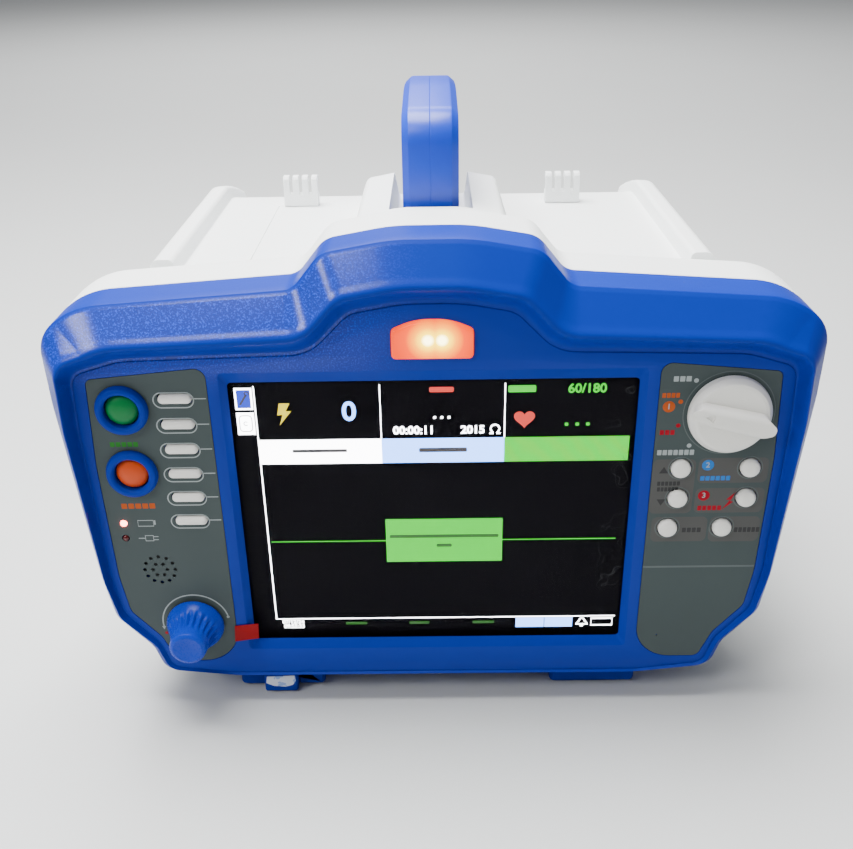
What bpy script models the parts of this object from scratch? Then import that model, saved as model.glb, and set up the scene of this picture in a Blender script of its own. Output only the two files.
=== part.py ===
"""Bench-top defibrillator monitor, as an assembly of separate pieces.

Frame: +X to the viewer's right, +Y to the back (the front faces -Y), +Z up. The origin is the
middle of the footprint, on the surface the monitor stands on. Sizes are in millimetres and are
turned into metres when a mesh is made. Front outlines are measured from the screen's centre.
"""
import math

import bmesh
import bpy
from mathutils import Matrix, Vector

MM = 0.001                 # metres in one millimetre, the unit of every size below
GAP = 0.3                  # clearance between two pieces that touch

# ---- driving dimensions ----
SCREEN_Z = 102.5           # height of the screen's centre above the surface
PANEL_Y = -96.0            # flat panel inside the rim
GLASS_Y = PANEL_Y + 5.0    # front of the display window
EDGE_Y = PANEL_Y + 2.0     # front edge of the rim's outer wall
SEAM_Y = PANEL_Y + 23.0    # joint between the bezel and the rear shell
COLLAR_Y = SEAM_Y + 30.0   # back of the shell's wide collar
REAR_Y = 113.0             # back wall of the rear shell
RIM_PROUD = 8.0            # how far the rim stands in front of the panel at the top
WALL = 3.0                 # moulded wall thickness
SCREEN_W, SCREEN_H = 170.4, 129.0
FLOOR_Z = 100.0            # paddle tray floor, from the screen's centre
HUMP_Z = 127.2             # top of the centre hump, from the screen's centre
BODY_X = 148.0             # half width of the shell behind the collar
BODY_BOTTOM = -87.0        # underside of the case, from the screen's centre
HANDLE_W = 25.2
HANDLE_TOP = 169.0         # top of the carrying handle, from the screen's centre
CHANNEL_X = 18.6           # half width of the channel that the handle stands in

# right halves of the front outlines: corner x, corner z, corner radius, top to bottom
RIM_HALF = [(16, 128.6, 90), (44, 123.6, 12), (56, 108.8, 9), (146, 102.6, 37), (162.2, 90, 17),
            (161.5, 60, 60), (154.5, -30, 60), (151, -52, 12), (136, -69.5, 13), (131.5, -83.5, 8),
            (95, -87.4, 60)]
PANEL_HALF = [(12, 102.6, 70), (34, 98.6, 13), (51, 81.2, 20), (130, 79.2, 37), (150.6, 73, 7),
              (151.4, 45, 40), (149.6, -28, 60), (146.2, -48.5, 11), (131.6, -66.2, 12), (127.2, -80.6, 7),
              (95, -84.4, 60)]
OVERLAY = [(94.4, 76.2, 5), (145.2, 71.4, 3), (147, 30, 60), (145.9, -28, 50), (143.2, -47.5, 9),
           (130.6, -62.5, 8), (124.6, -77, 4), (94.4, -77, 17)]
BODY_HALF = [(114, FLOOR_Z, 0.6), (115.5, 107, 2.5), (124.5, 107, 4.5), (129, 94, 10), (BODY_X, 62, 24),
             (BODY_X, -52, 26), (126, BODY_BOTTOM, 16)]
HUMP = [(-40, FLOOR_Z - 8, 0.5), (-40, FLOOR_Z - 1, 0.5), (-32.5, HUMP_Z - 3.6, 4), (-14, HUMP_Z, 50),
        (14, HUMP_Z, 50), (32.5, HUMP_Z - 3.6, 4), (40, FLOOR_Z - 1, 0.5), (40, FLOOR_Z - 8, 0.5)]

# controls on the panel: x, z from the screen's centre
POWER_AT = (-131.5, 57.4)
ALARM_AT = (-131.5, 26.8)
COLLAR_R, BIG_BUTTON_R = 11.3, 7.2
SOFT_KEY_X, SOFT_KEY_TOP, SOFT_KEY_PITCH = -108.2, 62.3, 11.95
SOFT_KEY_W, SOFT_KEY_H = 15.2, 4.4
ROUND_BUTTONS = {"energy_up_button": (107, 25.8), "energy_down_button": (107, 10.8),
                 "charge_button": (137, 25.8), "shock_button": (137, 10.8),
                 "sync_button": (103.9, -4.4), "disarm_button": (128.1, -4.4)}
ROUND_BUTTON_R = 4.4
MODE_AT = (124.8, 52.2)
MODE_POINTER_DEG = 165.0   # where the pointer rests, anticlockwise from +X seen from the front
JOG_AT = (-113.2, -54.2)
JOG_LENGTH = 20.5
LED_AT = {"battery_led": (-139.4, 0.8), "mains_led": (-139.5, -6.9)}
SPEAKER_AT = (-126.3, -24.1)

# recorder on the right side, battery at the back
RECORDER_Y = (-21.0, 49.0)
RECORDER_Z = (-36.0, 36.0)
RECORDER_HINGE = (BODY_X - 1.6, -38.6)      # x, z of the hinge axis
PAPER_AT, PAPER_R = (117.0, -20.6), 19.0
PLATEN_AT, PLATEN_R = (139.5, 17.0), 5.0
BATTERY_X = (-78.0, 2.0)
BATTERY_Z = (-79.0, -21.0)
BATTERY_LENGTH = 150.0

INLET_AT = (48.0, -60.0)       # x, z of the mains inlet on the back
STUD_AT = (80.0, -62.0)        # x, z of the earth stud on the back
ECG_AT = (4.0, 26.0)           # y, z of the ECG socket on the left side
PADDLE_AT = (4.0, -16.0)       # y, z of the paddle socket on the left side
CATCH_X = (-85.4, -69.0)
CATCH_TOP = BODY_BOTTOM - 3.4

BLUE = (0.012, 0.105, 0.55)
WHITE = (0.80, 0.81, 0.80)
GREY = (0.085, 0.115, 0.11)


# ---- scene helpers ----

def clear_scene():
    for item in list(bpy.data.objects):
        bpy.data.objects.remove(item, do_unlink=True)


def collection(name):
    made = bpy.data.collections.get(name) or bpy.data.collections.new(name)
    if made.name not in bpy.context.scene.collection.children:
        bpy.context.scene.collection.children.link(made)
    return made


def material(name, colour, roughness=0.45, metallic=0.0):
    made = bpy.data.materials.get(name) or bpy.data.materials.new(name)
    made.use_nodes = True
    shader = made.node_tree.nodes["Principled BSDF"]
    shader.inputs["Base Color"].default_value = (*colour, 1.0)
    shader.inputs["Roughness"].default_value = roughness
    shader.inputs["Metallic"].default_value = metallic
    return made


def at(x, y, z):
    """A point given from the screen's centre in X and Z, and from the origin in Y."""
    return Vector((x, y, z + SCREEN_Z)) * MM


def add(name, mesh, finish, place=None):
    made = bpy.data.objects.new(name, mesh)
    made.matrix_world = place or Matrix.Identity(4)
    mesh.materials.clear()
    mesh.materials.append(finish)
    collection("defibrillator").objects.link(made)
    return made


def as_cutter(made):
    collection("defibrillator").objects.unlink(made)
    collection("cutters").objects.link(made)
    made.hide_render = True
    made.display_type = "WIRE"
    return made


def boolean(target, tool, operation="DIFFERENCE", solver="EXACT"):
    """Cut or join a piece now, and drop the tool that did it."""
    change = target.modifiers.new(operation.title(), "BOOLEAN")
    change.operation = operation
    change.solver = solver
    change.object = as_cutter(tool)
    depsgraph = bpy.context.evaluated_depsgraph_get()
    result = bpy.data.meshes.new_from_object(target.evaluated_get(depsgraph))
    target.modifiers.clear()
    target.data = result
    bpy.data.objects.remove(tool, do_unlink=True)
    return target


def bevel(made, width, segments=2, angle=40):
    edge = made.modifiers.new("Bevel", "BEVEL")
    edge.width = width * MM
    edge.segments = segments
    edge.limit_method = "ANGLE"
    edge.angle_limit = math.radians(angle)
    return made


def smooth(made, angle=35):
    made.data.shade_smooth()
    made.data.set_sharp_from_angle(angle=math.radians(angle))
    return made


# ---- outlines ----

def rounded(corners, steps=3):
    """Points of a closed outline whose corners (x, z, radius) are turned into arcs."""
    points = []
    count = len(corners)
    for index, (x, z, radius) in enumerate(corners):
        corner = Vector((x, z))
        before = (Vector(corners[index - 1][:2]) - corner).normalized()
        after = (Vector(corners[(index + 1) % count][:2]) - corner).normalized()
        half = math.acos(max(-1.0, min(1.0, before.dot(after)))) / 2
        reach = radius / math.tan(half)
        centre = corner + (before + after).normalized() * (radius / math.sin(half))
        start, end = corner + before * reach - centre, corner + after * reach - centre
        sweep = start.angle_signed(end)
        for step in range(steps + 1):
            turn = Matrix.Rotation(-sweep * step / steps, 2)
            points.append(centre + turn @ start)
    return points


def mirrored(half):
    """A whole outline from the right half, which runs from top to bottom."""
    return half + [(-x, z, radius) for x, z, radius in reversed(half)]


def inset(corners, distance):
    """The outline moved inwards by a distance, for one that runs clockwise seen from the front."""
    count = len(corners)
    moved = []
    for index, (x, z, radius) in enumerate(corners):
        corner = Vector((x, z))
        along_in = (corner - Vector(corners[index - 1][:2])).normalized()
        along_out = (Vector(corners[(index + 1) % count][:2]) - corner).normalized()
        normal_in, normal_out = Vector((along_in.y, -along_in.x)), Vector((along_out.y, -along_out.x))
        shift = (normal_in + normal_out) / (1 + normal_in.dot(normal_out))
        convex = along_in.x * along_out.y - along_in.y * along_out.x < 0
        new_radius = max(0.4, radius - distance if convex else radius + distance)
        moved.append((x + shift.x * distance, z + shift.y * distance, new_radius))
    return moved


def rectangle(x0, x1, z0, z1, radius=0.5):
    return [(x0, z1, radius), (x1, z1, radius), (x1, z0, radius), (x0, z0, radius)]


# ---- solids ----

def loft(name, loops, finish):
    """A closed solid through loops of equal length, given as lists of (x, y, z)."""
    work = bmesh.new()
    rings = [[work.verts.new(at(*point)) for point in loop] for loop in loops]
    count = len(rings[0])
    for lower, upper in zip(rings, rings[1:]):
        for index in range(count):
            after = (index + 1) % count
            work.faces.new((lower[index], lower[after], upper[after], upper[index]))
    work.faces.new(list(reversed(rings[0])))
    work.faces.new(rings[-1])
    bmesh.ops.recalc_face_normals(work, faces=work.faces)
    mesh = bpy.data.meshes.new(name)
    work.to_mesh(mesh)
    work.free()
    return add(name, mesh, finish)


def prism(name, corners, y0, y1, finish, steps=3):
    """An outline in the X-Z plane, drawn as a filled curve and given thickness from y0 to y1."""
    return extruded(name, rounded(corners, steps), (y0 + y1) / 2, abs(y1 - y0), finish)


def extruded(name, points, middle, depth, finish, axis="Y"):
    """A filled curve through outline points, extruded along Y, X or Z about a middle plane."""
    curve = bpy.data.curves.new(name, "CURVE")
    curve.dimensions = "2D"
    curve.fill_mode = "BOTH"
    curve.extrude = depth * MM / 2
    spline = curve.splines.new("POLY")
    spline.points.add(len(points) - 1)
    for target, point in zip(spline.points, points):
        target.co = (point[0] * MM, point[1] * MM, 0, 1)
    spline.use_cyclic_u = True
    if axis == "Y":
        place = Matrix.Translation(at(0, middle, 0)) @ Matrix.Rotation(math.pi / 2, 4, "X")
    elif axis == "X":
        place = (Matrix.Translation(at(middle, 0, 0)) @ Matrix.Rotation(math.pi / 2, 4, "Z")
                 @ Matrix.Rotation(math.pi / 2, 4, "X"))
    else:
        place = Matrix.Translation(at(0, 0, middle))
    drawn = bpy.data.objects.new(name + "_outline", curve)
    drawn.matrix_world = place
    collection("defibrillator").objects.link(drawn)
    depsgraph = bpy.context.evaluated_depsgraph_get()
    mesh = bpy.data.meshes.new_from_object(drawn.evaluated_get(depsgraph))
    bpy.data.objects.remove(drawn, do_unlink=True)
    work = bmesh.new()
    work.from_mesh(mesh)
    bmesh.ops.remove_doubles(work, verts=work.verts, dist=0.00001)
    bmesh.ops.recalc_face_normals(work, faces=work.faces)
    work.to_mesh(mesh)
    work.free()
    mesh.transform(place)
    mesh.name = name
    return add(name, mesh, finish)


def block(name, x, y, z, finish):
    """A box between pairs of limits on the three axes."""
    work = bmesh.new()
    bmesh.ops.create_cube(work, size=1)
    size = Vector((x[1] - x[0], y[1] - y[0], z[1] - z[0])) * MM
    centre = at((x[0] + x[1]) / 2, (y[0] + y[1]) / 2, (z[0] + z[1]) / 2)
    bmesh.ops.scale(work, vec=size, verts=work.verts)
    bmesh.ops.translate(work, vec=centre, verts=work.verts)
    mesh = bpy.data.meshes.new(name)
    work.to_mesh(mesh)
    work.free()
    return add(name, mesh, finish)


AXIS_TURN = {"Z": Matrix.Identity(4), "-Y": Matrix.Rotation(math.pi / 2, 4, "X"),
             "Y": Matrix.Rotation(-math.pi / 2, 4, "X"), "X": Matrix.Rotation(math.pi / 2, 4, "Y"),
             "-X": Matrix.Rotation(-math.pi / 2, 4, "Y")}


def turned(name, profile, place, axis, finish, steps=20):
    """A solid of revolution. The profile is (radius, distance along the axis), from tip to base."""
    mesh = bpy.data.meshes.new(name)
    work = bmesh.new()
    verts = [work.verts.new((radius * MM, 0, along * MM)) for radius, along in profile]
    for one, two in zip(verts, verts[1:]):
        work.edges.new((one, two))
    work.to_mesh(mesh)
    work.free()
    made = add(name, mesh, finish, Matrix.Translation(at(*place)) @ AXIS_TURN[axis])
    spin = made.modifiers.new("Screw", "SCREW")
    spin.steps = steps
    spin.render_steps = steps
    spin.use_merge_vertices = True
    spin.merge_threshold = 0.00005
    spin.use_smooth_shade = True
    return made


def cylinder(name, place, axis, radius, length, finish, steps=24):
    """A plain round pin that starts at its place and runs along its axis."""
    return turned(name, [(0, length), (radius, length), (radius, 0), (0, 0)], place, axis, finish, steps)


def baked(made):
    """The piece with its modifiers applied, so that it can be cut further."""
    depsgraph = bpy.context.evaluated_depsgraph_get()
    mesh = bpy.data.meshes.new_from_object(made.evaluated_get(depsgraph))
    made.modifiers.clear()
    made.data = mesh
    return made


def drill(target, place, axis, radius, length, steps=24, solver="EXACT"):
    bit = cylinder("drill", place, axis, radius, length, target.active_material, steps)
    return boolean(target, baked(bit), solver=solver)


# ---- front bezel ----

def rim_depth(across, z):
    """Y of the front face, from the outer edge (across 0) to the flat panel (across 1)."""
    rise = max(0.0, min(1.0, (z + 84.0) / 120.0))
    proud = 1.0 + (RIM_PROUD - 1.0) * rise * rise * (3 - 2 * rise)
    crest = 0.62
    if across < crest:
        return EDGE_Y + (PANEL_Y - proud - EDGE_Y) * math.sin(across / crest * math.pi / 2)
    fall = (across - crest) / (1 - crest)
    return PANEL_Y - proud * (0.5 + 0.5 * math.cos(fall * math.pi))


def rim_loop(across):
    outer, inner = rounded(mirrored(RIM_HALF)), rounded(mirrored(PANEL_HALF))
    loop = []
    for one, two in zip(outer, inner):
        point = one.lerp(two, across)
        loop.append((point.x, rim_depth(across, point.y), point.y))
    return loop


def make_bezel(blue):
    outer = rounded(mirrored(RIM_HALF))
    loops = [[(p.x, SEAM_Y, p.y) for p in outer]]
    loops += [rim_loop(across) for across in (0, 0.3, 0.56, 0.68, 0.84, 1)]
    bezel = loft("front_bezel", loops, blue)
    cavity = rounded(inset(mirrored(RIM_HALF), WALL))
    shallow = rounded(inset(mirrored(PANEL_HALF), 1.0))
    front_in = PANEL_Y + WALL
    boolean(bezel, loft("cavity", [[(p.x, SEAM_Y + 1, p.y) for p in cavity],
                                   [(p.x, PANEL_Y + 12, p.y) for p in cavity],
                                   [(p.x, front_in, p.y) for p in shallow]], blue))
    recess = [(PANEL_Y - 1.0, 89.4, 73.2, -70.0), (GLASS_Y, SCREEN_W / 2, SCREEN_H / 2, -SCREEN_H / 2),
              (GLASS_Y + 12, SCREEN_W / 2, SCREEN_H / 2, -SCREEN_H / 2)]
    boolean(bezel, loft("recess", [[(p.x, y, p.y) for p in rounded(rectangle(-x, x, low, high, 1.5), 2)]
                                   for y, x, high, low in recess], blue))
    for side in (1, -1):
        pocket = [(side * x, z, radius) for x, z, radius in OVERLAY]
        boolean(bezel, prism("pocket", pocket, PANEL_Y - 1, PANEL_Y + 0.9, blue, 4))
    boolean(bezel, prism("lamp_hole", lamp_outline(0.3), PANEL_Y - 2, PANEL_Y + 8, blue))
    return bezel


def lamp_outline(grow=0.0):
    half = [(7, 95.9 + grow, 28), (16.9 + grow, 91.8 + grow, 3), (16.9 + grow, 79.2 - grow, 2)]
    return mirrored(half)


def cut_controls(target, side, depth=14.0):
    """The holes on one side that the controls pass through, in the bezel or in an overlay."""
    start = PANEL_Y - 2
    finish = target.active_material
    if side > 0:
        for x, z in ROUND_BUTTONS.values():
            drill(target, (x, start, z), "Y", ROUND_BUTTON_R + GAP, depth, 16)
        return drill(target, (MODE_AT[0], start, MODE_AT[1]), "Y", 4.4, depth, 16)
    for x, z in (POWER_AT, ALARM_AT):
        drill(target, (x, start, z), "Y", COLLAR_R - 1.6, depth)
    for x, z in LED_AT.values():
        drill(target, (x, start, z), "Y", 1.5 + GAP, depth, 12)
    for z in soft_key_heights():
        hole = rectangle(SOFT_KEY_X - SOFT_KEY_W / 2 - GAP, SOFT_KEY_X + SOFT_KEY_W / 2 + GAP,
                         z - SOFT_KEY_H / 2 - GAP, z + SOFT_KEY_H / 2 + GAP, SOFT_KEY_H / 2 + GAP - 0.01)
        boolean(target, prism("key_hole", hole, start, start + depth, finish))
    return drill(target, (JOG_AT[0], start, JOG_AT[1]), "Y", 4.4, depth, 16)


def soft_key_heights():
    return [SOFT_KEY_TOP - SOFT_KEY_PITCH * index for index in range(6)]


def make_overlays(grey):
    for name, side in (("left_overlay", -1), ("right_overlay", 1)):
        outline = inset(OVERLAY, GAP)
        if side < 0:
            outline = [(-x, z, radius) for x, z, radius in reversed(outline)]
        cut_controls(prism(name, outline, PANEL_Y + 0.05, PANEL_Y + 0.6, grey, 4), side)


# ---- display and lamp ----

def make_display(glass, black, red, amber):
    block("display_window", (-91, 91), (GLASS_Y, GLASS_Y + 1.5), (-70, 70), glass)
    block("lcd_module", (-92, 92), (GLASS_Y + 1.8, GLASS_Y + 11), (-71, 71), black)
    tab = [(-95.2, -56.2, 0.4), (-83.9, -54.9, 0.4), (-84.3, -63.4, 0.4), (-95.9, -65.2, 0.4)]
    prism("film_pull_tab", tab, PANEL_Y - 0.9, PANEL_Y - 0.3, red)
    bevel(prism("alarm_lamp", lamp_outline(), PANEL_Y - 2.2, PANEL_Y + 6, amber), 0.8, 1)


# ---- push buttons ----

def make_collar(name, place, blue):
    front = PANEL_Y - GAP
    profile = [(BIG_BUTTON_R + 0.4, -5.4), (BIG_BUTTON_R + 0.4, 2.2), (8.6, 3.0), (10.3, 2.6), (COLLAR_R, 0.6),
               (COLLAR_R, 0), (9.4, 0), (9.4, -5.4), (BIG_BUTTON_R + 0.4, -5.4)]
    turned(name, profile, (place[0], front, place[1]), "-Y", blue)


def make_round_button(name, place, radius, proud, depth, finish, steps=14):
    """A domed cap with a stem. Its origin is on its face plane, and it travels along +Y."""
    profile = [(0, proud), (radius * 0.6, proud - 0.25), (radius - 0.3, proud - 0.9), (radius, proud - 1.4),
               (radius, -depth + 3), (radius * 0.5, -depth + 3), (radius * 0.5, -depth), (0, -depth)]
    turned(name, profile, (place[0], PANEL_Y, place[1]), "-Y", finish, steps)


def make_buttons(white, green, orange, blue):
    make_collar("power_collar", POWER_AT, blue)
    make_collar("alarm_collar", ALARM_AT, blue)
    make_round_button("power_button", POWER_AT, BIG_BUTTON_R, 2.4, 9, green, 20)
    make_round_button("alarm_button", ALARM_AT, BIG_BUTTON_R, 2.4, 9, orange, 20)
    for name, place in ROUND_BUTTONS.items():
        make_round_button(name, place, ROUND_BUTTON_R, 2.6, 9, white)
    for index, z in enumerate(soft_key_heights()):
        outline = rectangle(SOFT_KEY_X - SOFT_KEY_W / 2, SOFT_KEY_X + SOFT_KEY_W / 2,
                            z - SOFT_KEY_H / 2, z + SOFT_KEY_H / 2, 2.0)
        key = prism("soft_key_%d" % (index + 1), outline, PANEL_Y - 1.8, PANEL_Y + 9, white)
        bevel(key, 0.6, 1, 60)


# ---- knobs ----

def make_mode_knob(white, black):
    x, z = MODE_AT
    front = PANEL_Y - 0.4
    disc = [(0, 6.4), (11, 6.2), (16.4, 4.6), (18, 1.6), (18, 0), (3.2, 0), (3.2, -9), (0, -9)]
    knob = baked(turned("mode_knob", disc, (x, front, z), "-Y", white, 26))
    turn = math.radians(MODE_POINTER_DEG)
    grip = []
    for along, across, radius in ((17.2, 4.2, 3.6), (17.2, -4.2, 3.6), (-17.2, -5.0, 4.4), (-17.2, 5.0, 4.4)):
        grip.append((x + along * math.cos(turn) - across * math.sin(turn),
                     z + along * math.sin(turn) + across * math.cos(turn), radius))
    boolean(knob, bevel(prism("grip", grip, front - 10, front - 2, white), 1.2, 1, 60), "UNION")
    knob = baked(knob)
    set_origin(knob, at(x, front, z))
    switch = baked(cylinder("mode_switch", (x, PANEL_Y + 4.2, z), "Y", 11, 14, black, 16))
    drill(switch, (x, PANEL_Y + 3, z), "Y", 3.6, 9, 16)


def set_origin(made, point):
    """Move the origin onto the joint's axis and leave the solid where it is."""
    made.data.transform(made.matrix_world)
    made.data.transform(Matrix.Translation(-point))
    made.matrix_world = Matrix.Translation(point)


def make_jog_knob(blue, steel, black):
    x, z = JOG_AT
    lift = 1.6             # room under the skirt for the push
    front = PANEL_Y - lift
    tip = JOG_LENGTH - lift
    profile = [(0, tip - 0.4), (6.6, tip), (8.2, tip - 0.9), (8.5, tip - 2.6), (9.4, tip * 0.58), (11.6, tip * 0.28),
               (13.0, 2.2), (13.4, 1.0), (13.4, 0), (4.6, 0), (4.6, 10), (0, 10)]
    turned("jog_knob", profile, (x, front, z), "-Y", blue, 22)
    cylinder("jog_shaft", (x, PANEL_Y + 12, z), "-Y", 3.2, 21, steel, 16)
    encoder = block("jog_encoder", (x - 7, x + 7), (PANEL_Y + 4.2, PANEL_Y + 16), (z - 7, z + 7), black)
    drill(encoder, (x, PANEL_Y + 3, z), "Y", 3.6, 12, 16)


def make_behind_panel(board, black, red, steel):
    for name, (x, z) in LED_AT.items():
        profile = [(0, 0.9), (1.0, 0.6), (1.5, -0.2), (1.5, -9), (0, -9)]
        turned(name, profile, (x, PANEL_Y, z), "-Y", red, 12)
    for name, x, z in (("left_key_board", (-143, -99), (-9.4, 70)), ("right_key_board", (98, 143), (-12, 34))):
        block(name, x, (PANEL_Y + 12.5, PANEL_Y + 14.1), z, board)
    profile = [(0, 0), (14, 0), (14, -2.5), (12, -4), (8, -9), (8, -14), (0, -14)]
    turned("speaker", profile, (SPEAKER_AT[0], PANEL_Y + 3.6, SPEAKER_AT[1]), "-Y", black)


# ---- rear shell ----

def bowed(point, y, bow):
    """The back edge of the top bows forward towards the sides, and fades out down the back."""
    height = max(0.0, min(1.0, (point.y - 40) / 60))
    return (point.x, y - bow * (point.x / 125) ** 2 * height, point.y)


def make_rear_shell(white):
    rim = mirrored(RIM_HALF)
    collar_steps = ((SEAM_Y + GAP, 0), (COLLAR_Y - 3.5, 0), (COLLAR_Y - 1, 1.2), (COLLAR_Y, 3.6))
    shell = loft("rear_shell", [[(p.x, y, p.y) for p in rounded(inset(rim, by))] for y, by in collar_steps], white)
    body = mirrored(BODY_HALF)
    body_steps = ((COLLAR_Y - 3, 0, 0), (REAR_Y - 9, 0, 14), (REAR_Y - 2.6, 2.2, 9), (REAR_Y, 6.4, 0))
    loops = [[bowed(p, y, bow) for p in rounded(shrunk(body, by))] for y, by, bow in body_steps]
    boolean(shell, loft("body", loops, white), "UNION")
    hump_steps = ((COLLAR_Y - 2, 1.0), (29, 1.0), (40, 0.96), (93, 0.30))
    foot = HUMP[0][1]
    loops = [[(p.x, y, foot + (p.y - foot) * tall) for p in rounded(HUMP, 3)] for y, tall in hump_steps]
    boolean(shell, loft("hump", loops, white), "UNION")
    boolean(shell, block("channel", (-CHANNEL_X, CHANNEL_X), (COLLAR_Y + 4, REAR_Y + 5),
                         (FLOOR_Z + 1, HUMP_Z + 10), white))
    cavity = rounded(inset(rim, WALL))
    boolean(shell, loft("collar_cavity", [[(p.x, y, p.y) for p in cavity]
                                          for y in (SEAM_Y - 1, COLLAR_Y - WALL - 1)], white))
    hollow = mirrored([(120, FLOOR_Z - WALL, 4), (BODY_X - WALL, 60, 20), (BODY_X - WALL, -51, 22),
                       (124.5, BODY_BOTTOM + WALL, 13)])
    hollow_steps = ((COLLAR_Y - 8, 0, 0), (REAR_Y - 12, 0, 14), (REAR_Y - WALL, 7.4, 0))
    loops = [[bowed(p, y, bow) for p in rounded(inset(hollow, by))] for y, by, bow in hollow_steps]
    boolean(shell, loft("body_cavity", loops, white))
    cut_shell_openings(shell, white)


def shrunk(corners, by):
    """The body's outline drawn in towards the middle of the back, kept simple at the side rails."""
    return [(x * (1 - by / BODY_X), z - by * (z - 5) / 95, radius) for x, z, radius in corners]


def cut_shell_openings(shell, white):
    inside, outside = BODY_X - 8, BODY_X + 4
    mouths = [
        ((inside, outside), (RECORDER_Y[0] - 0.6, RECORDER_Y[1] + 0.6), (RECORDER_Z[0] - 7, RECORDER_Z[1] + 0.6)),
        ((BATTERY_X[0] - 0.6, BATTERY_X[1] + 0.6), (REAR_Y - 8, REAR_Y + 4), (BATTERY_Z[0] - 0.6, BATTERY_Z[1] + 0.6)),
        ((INLET_AT[0] - 12.6, INLET_AT[0] + 12.6), (REAR_Y - 8, REAR_Y + 4), (INLET_AT[1] - 9.4, INLET_AT[1] + 9.4)),
        ((-outside, -inside), (PADDLE_AT[0] - 18.4, PADDLE_AT[0] + 18.4), (PADDLE_AT[1] - 12.4, PADDLE_AT[1] + 12.4)),
    ]
    for x, y, z in mouths:
        boolean(shell, block("mouth", x, y, z, white), solver="MANIFOLD")
    drill(shell, (STUD_AT[0], REAR_Y - 8, STUD_AT[1]), "Y", 3.3, 12, 12, "MANIFOLD")
    drill(shell, (-outside, ECG_AT[0], ECG_AT[1]), "X", 11.4, 12, 20, "MANIFOLD")


# ---- handle, trays, feet ----

def make_handle(blue):
    front, back = COLLAR_Y + 10, REAR_Y - 19
    base, thick = FLOOR_Z + 1.3, 14.5
    top = HANDLE_TOP
    side = [(front, base, 0.5), (front, top - 3, 15), ((front + back) / 2, top + 2.4, 150), (back, top - 3, 24),
            (back, base, 0.5), (back - thick, base, 0.5), (back - thick, top - thick - 2, 10),
            ((front + back) / 2, top - thick + 3, 120), (front + thick, top - thick - 2, 9),
            (front + thick, base, 0.5)]
    bevel(extruded("carry_handle", rounded(side, 5), 0, HANDLE_W, blue, "X"), 3.2, 1, 50)


def make_clip(name, side, white):
    """A comb of four hooked fingers on a block, which holds a paddle by its edge."""
    centre, front, width = side * 71.6, 72.0, 18.6
    base = FLOOR_Z + 0.3
    clip = block(name, (centre - width / 2, centre + width / 2), (front, front + 7), (base, base + 16), white)
    boolean(clip, block("lean", (centre - width, centre + width), (front + 3.4, front + 9),
                        (base + 6, base + 12.5), white))
    for slot in (-1, 0, 1):
        middle = centre + slot * 4.8
        boolean(clip, block("slot", (middle - 0.9, middle + 0.9), (front - 1, front + 9),
                            (base + 6, base + 17), white))


def make_skid(side, name, pad_name, blue, rubber):
    inner, outer = 56.0, 98.0
    x = sorted((side * inner, side * outer))
    top, bottom = BODY_BOTTOM - 0.9, BODY_BOTTOM - 14.4
    skid = bevel(block(name, x, (EDGE_Y + 8, 92), (bottom, top), blue), 1.6, 1)
    skid = baked(skid)
    middle = side * (inner + outer) / 2
    boolean(skid, block("pad_seat", (middle - 12.3, middle + 12.3), (EDGE_Y + 34, 82),
                        (bottom - 2, bottom + 1.6), blue))
    pad = block(pad_name, (middle - 12, middle + 12), (EDGE_Y + 34.3, 81.7), (-SCREEN_Z, bottom + 1.3), rubber)
    bevel(pad, 0.5, 1)
    if side < 0:
        x_catch = (CATCH_X[0] - 0.4, CATCH_X[1] + 0.4)
        boolean(skid, block("catch_seat", x_catch, (EDGE_Y + 6, EDGE_Y + 29), (bottom - 2, CATCH_TOP + 0.4), blue))


def make_catch(blue):
    """A sprung catch in front of the left skid. It is pushed back into the skid by 4 mm."""
    catch = block("docking_catch", CATCH_X, (EDGE_Y + 3, EDGE_Y + 24), (BODY_BOTTOM - 14.2, CATCH_TOP), blue)
    bevel(catch, 0.8, 1)


# ---- battery and mains ----

def make_battery(black, grey, blue):
    x, z = BATTERY_X, BATTERY_Z
    front = REAR_Y - BATTERY_LENGTH
    bay = block("battery_bay", (x[0] - 3.4, x[1] + 3.4), (front - 3.4, REAR_Y - 9.4),
                (z[0] - 2.8, z[1] + 3.4), grey)
    boolean(bay, block("bay_hollow", (x[0] - 0.6, x[1] + 0.6), (front - 0.6, REAR_Y + 2),
                       (z[0] - 0.6, z[1] + 0.6), grey))
    pack = bevel(block("battery_pack", x, (front, REAR_Y - 0.4), z, black), 1.5, 1)
    boolean(baked(pack), block("finger_notch", (x[0] + 22, x[1] - 22), (REAR_Y - 12, REAR_Y + 1),
                               (z[0] + 14, z[0] + 27), black))
    bevel(block("battery_latch", (-49, -27), (REAR_Y + GAP, REAR_Y + 3.2), (z[1] + 0.9, z[1] + 13), blue), 0.8, 1)


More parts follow.
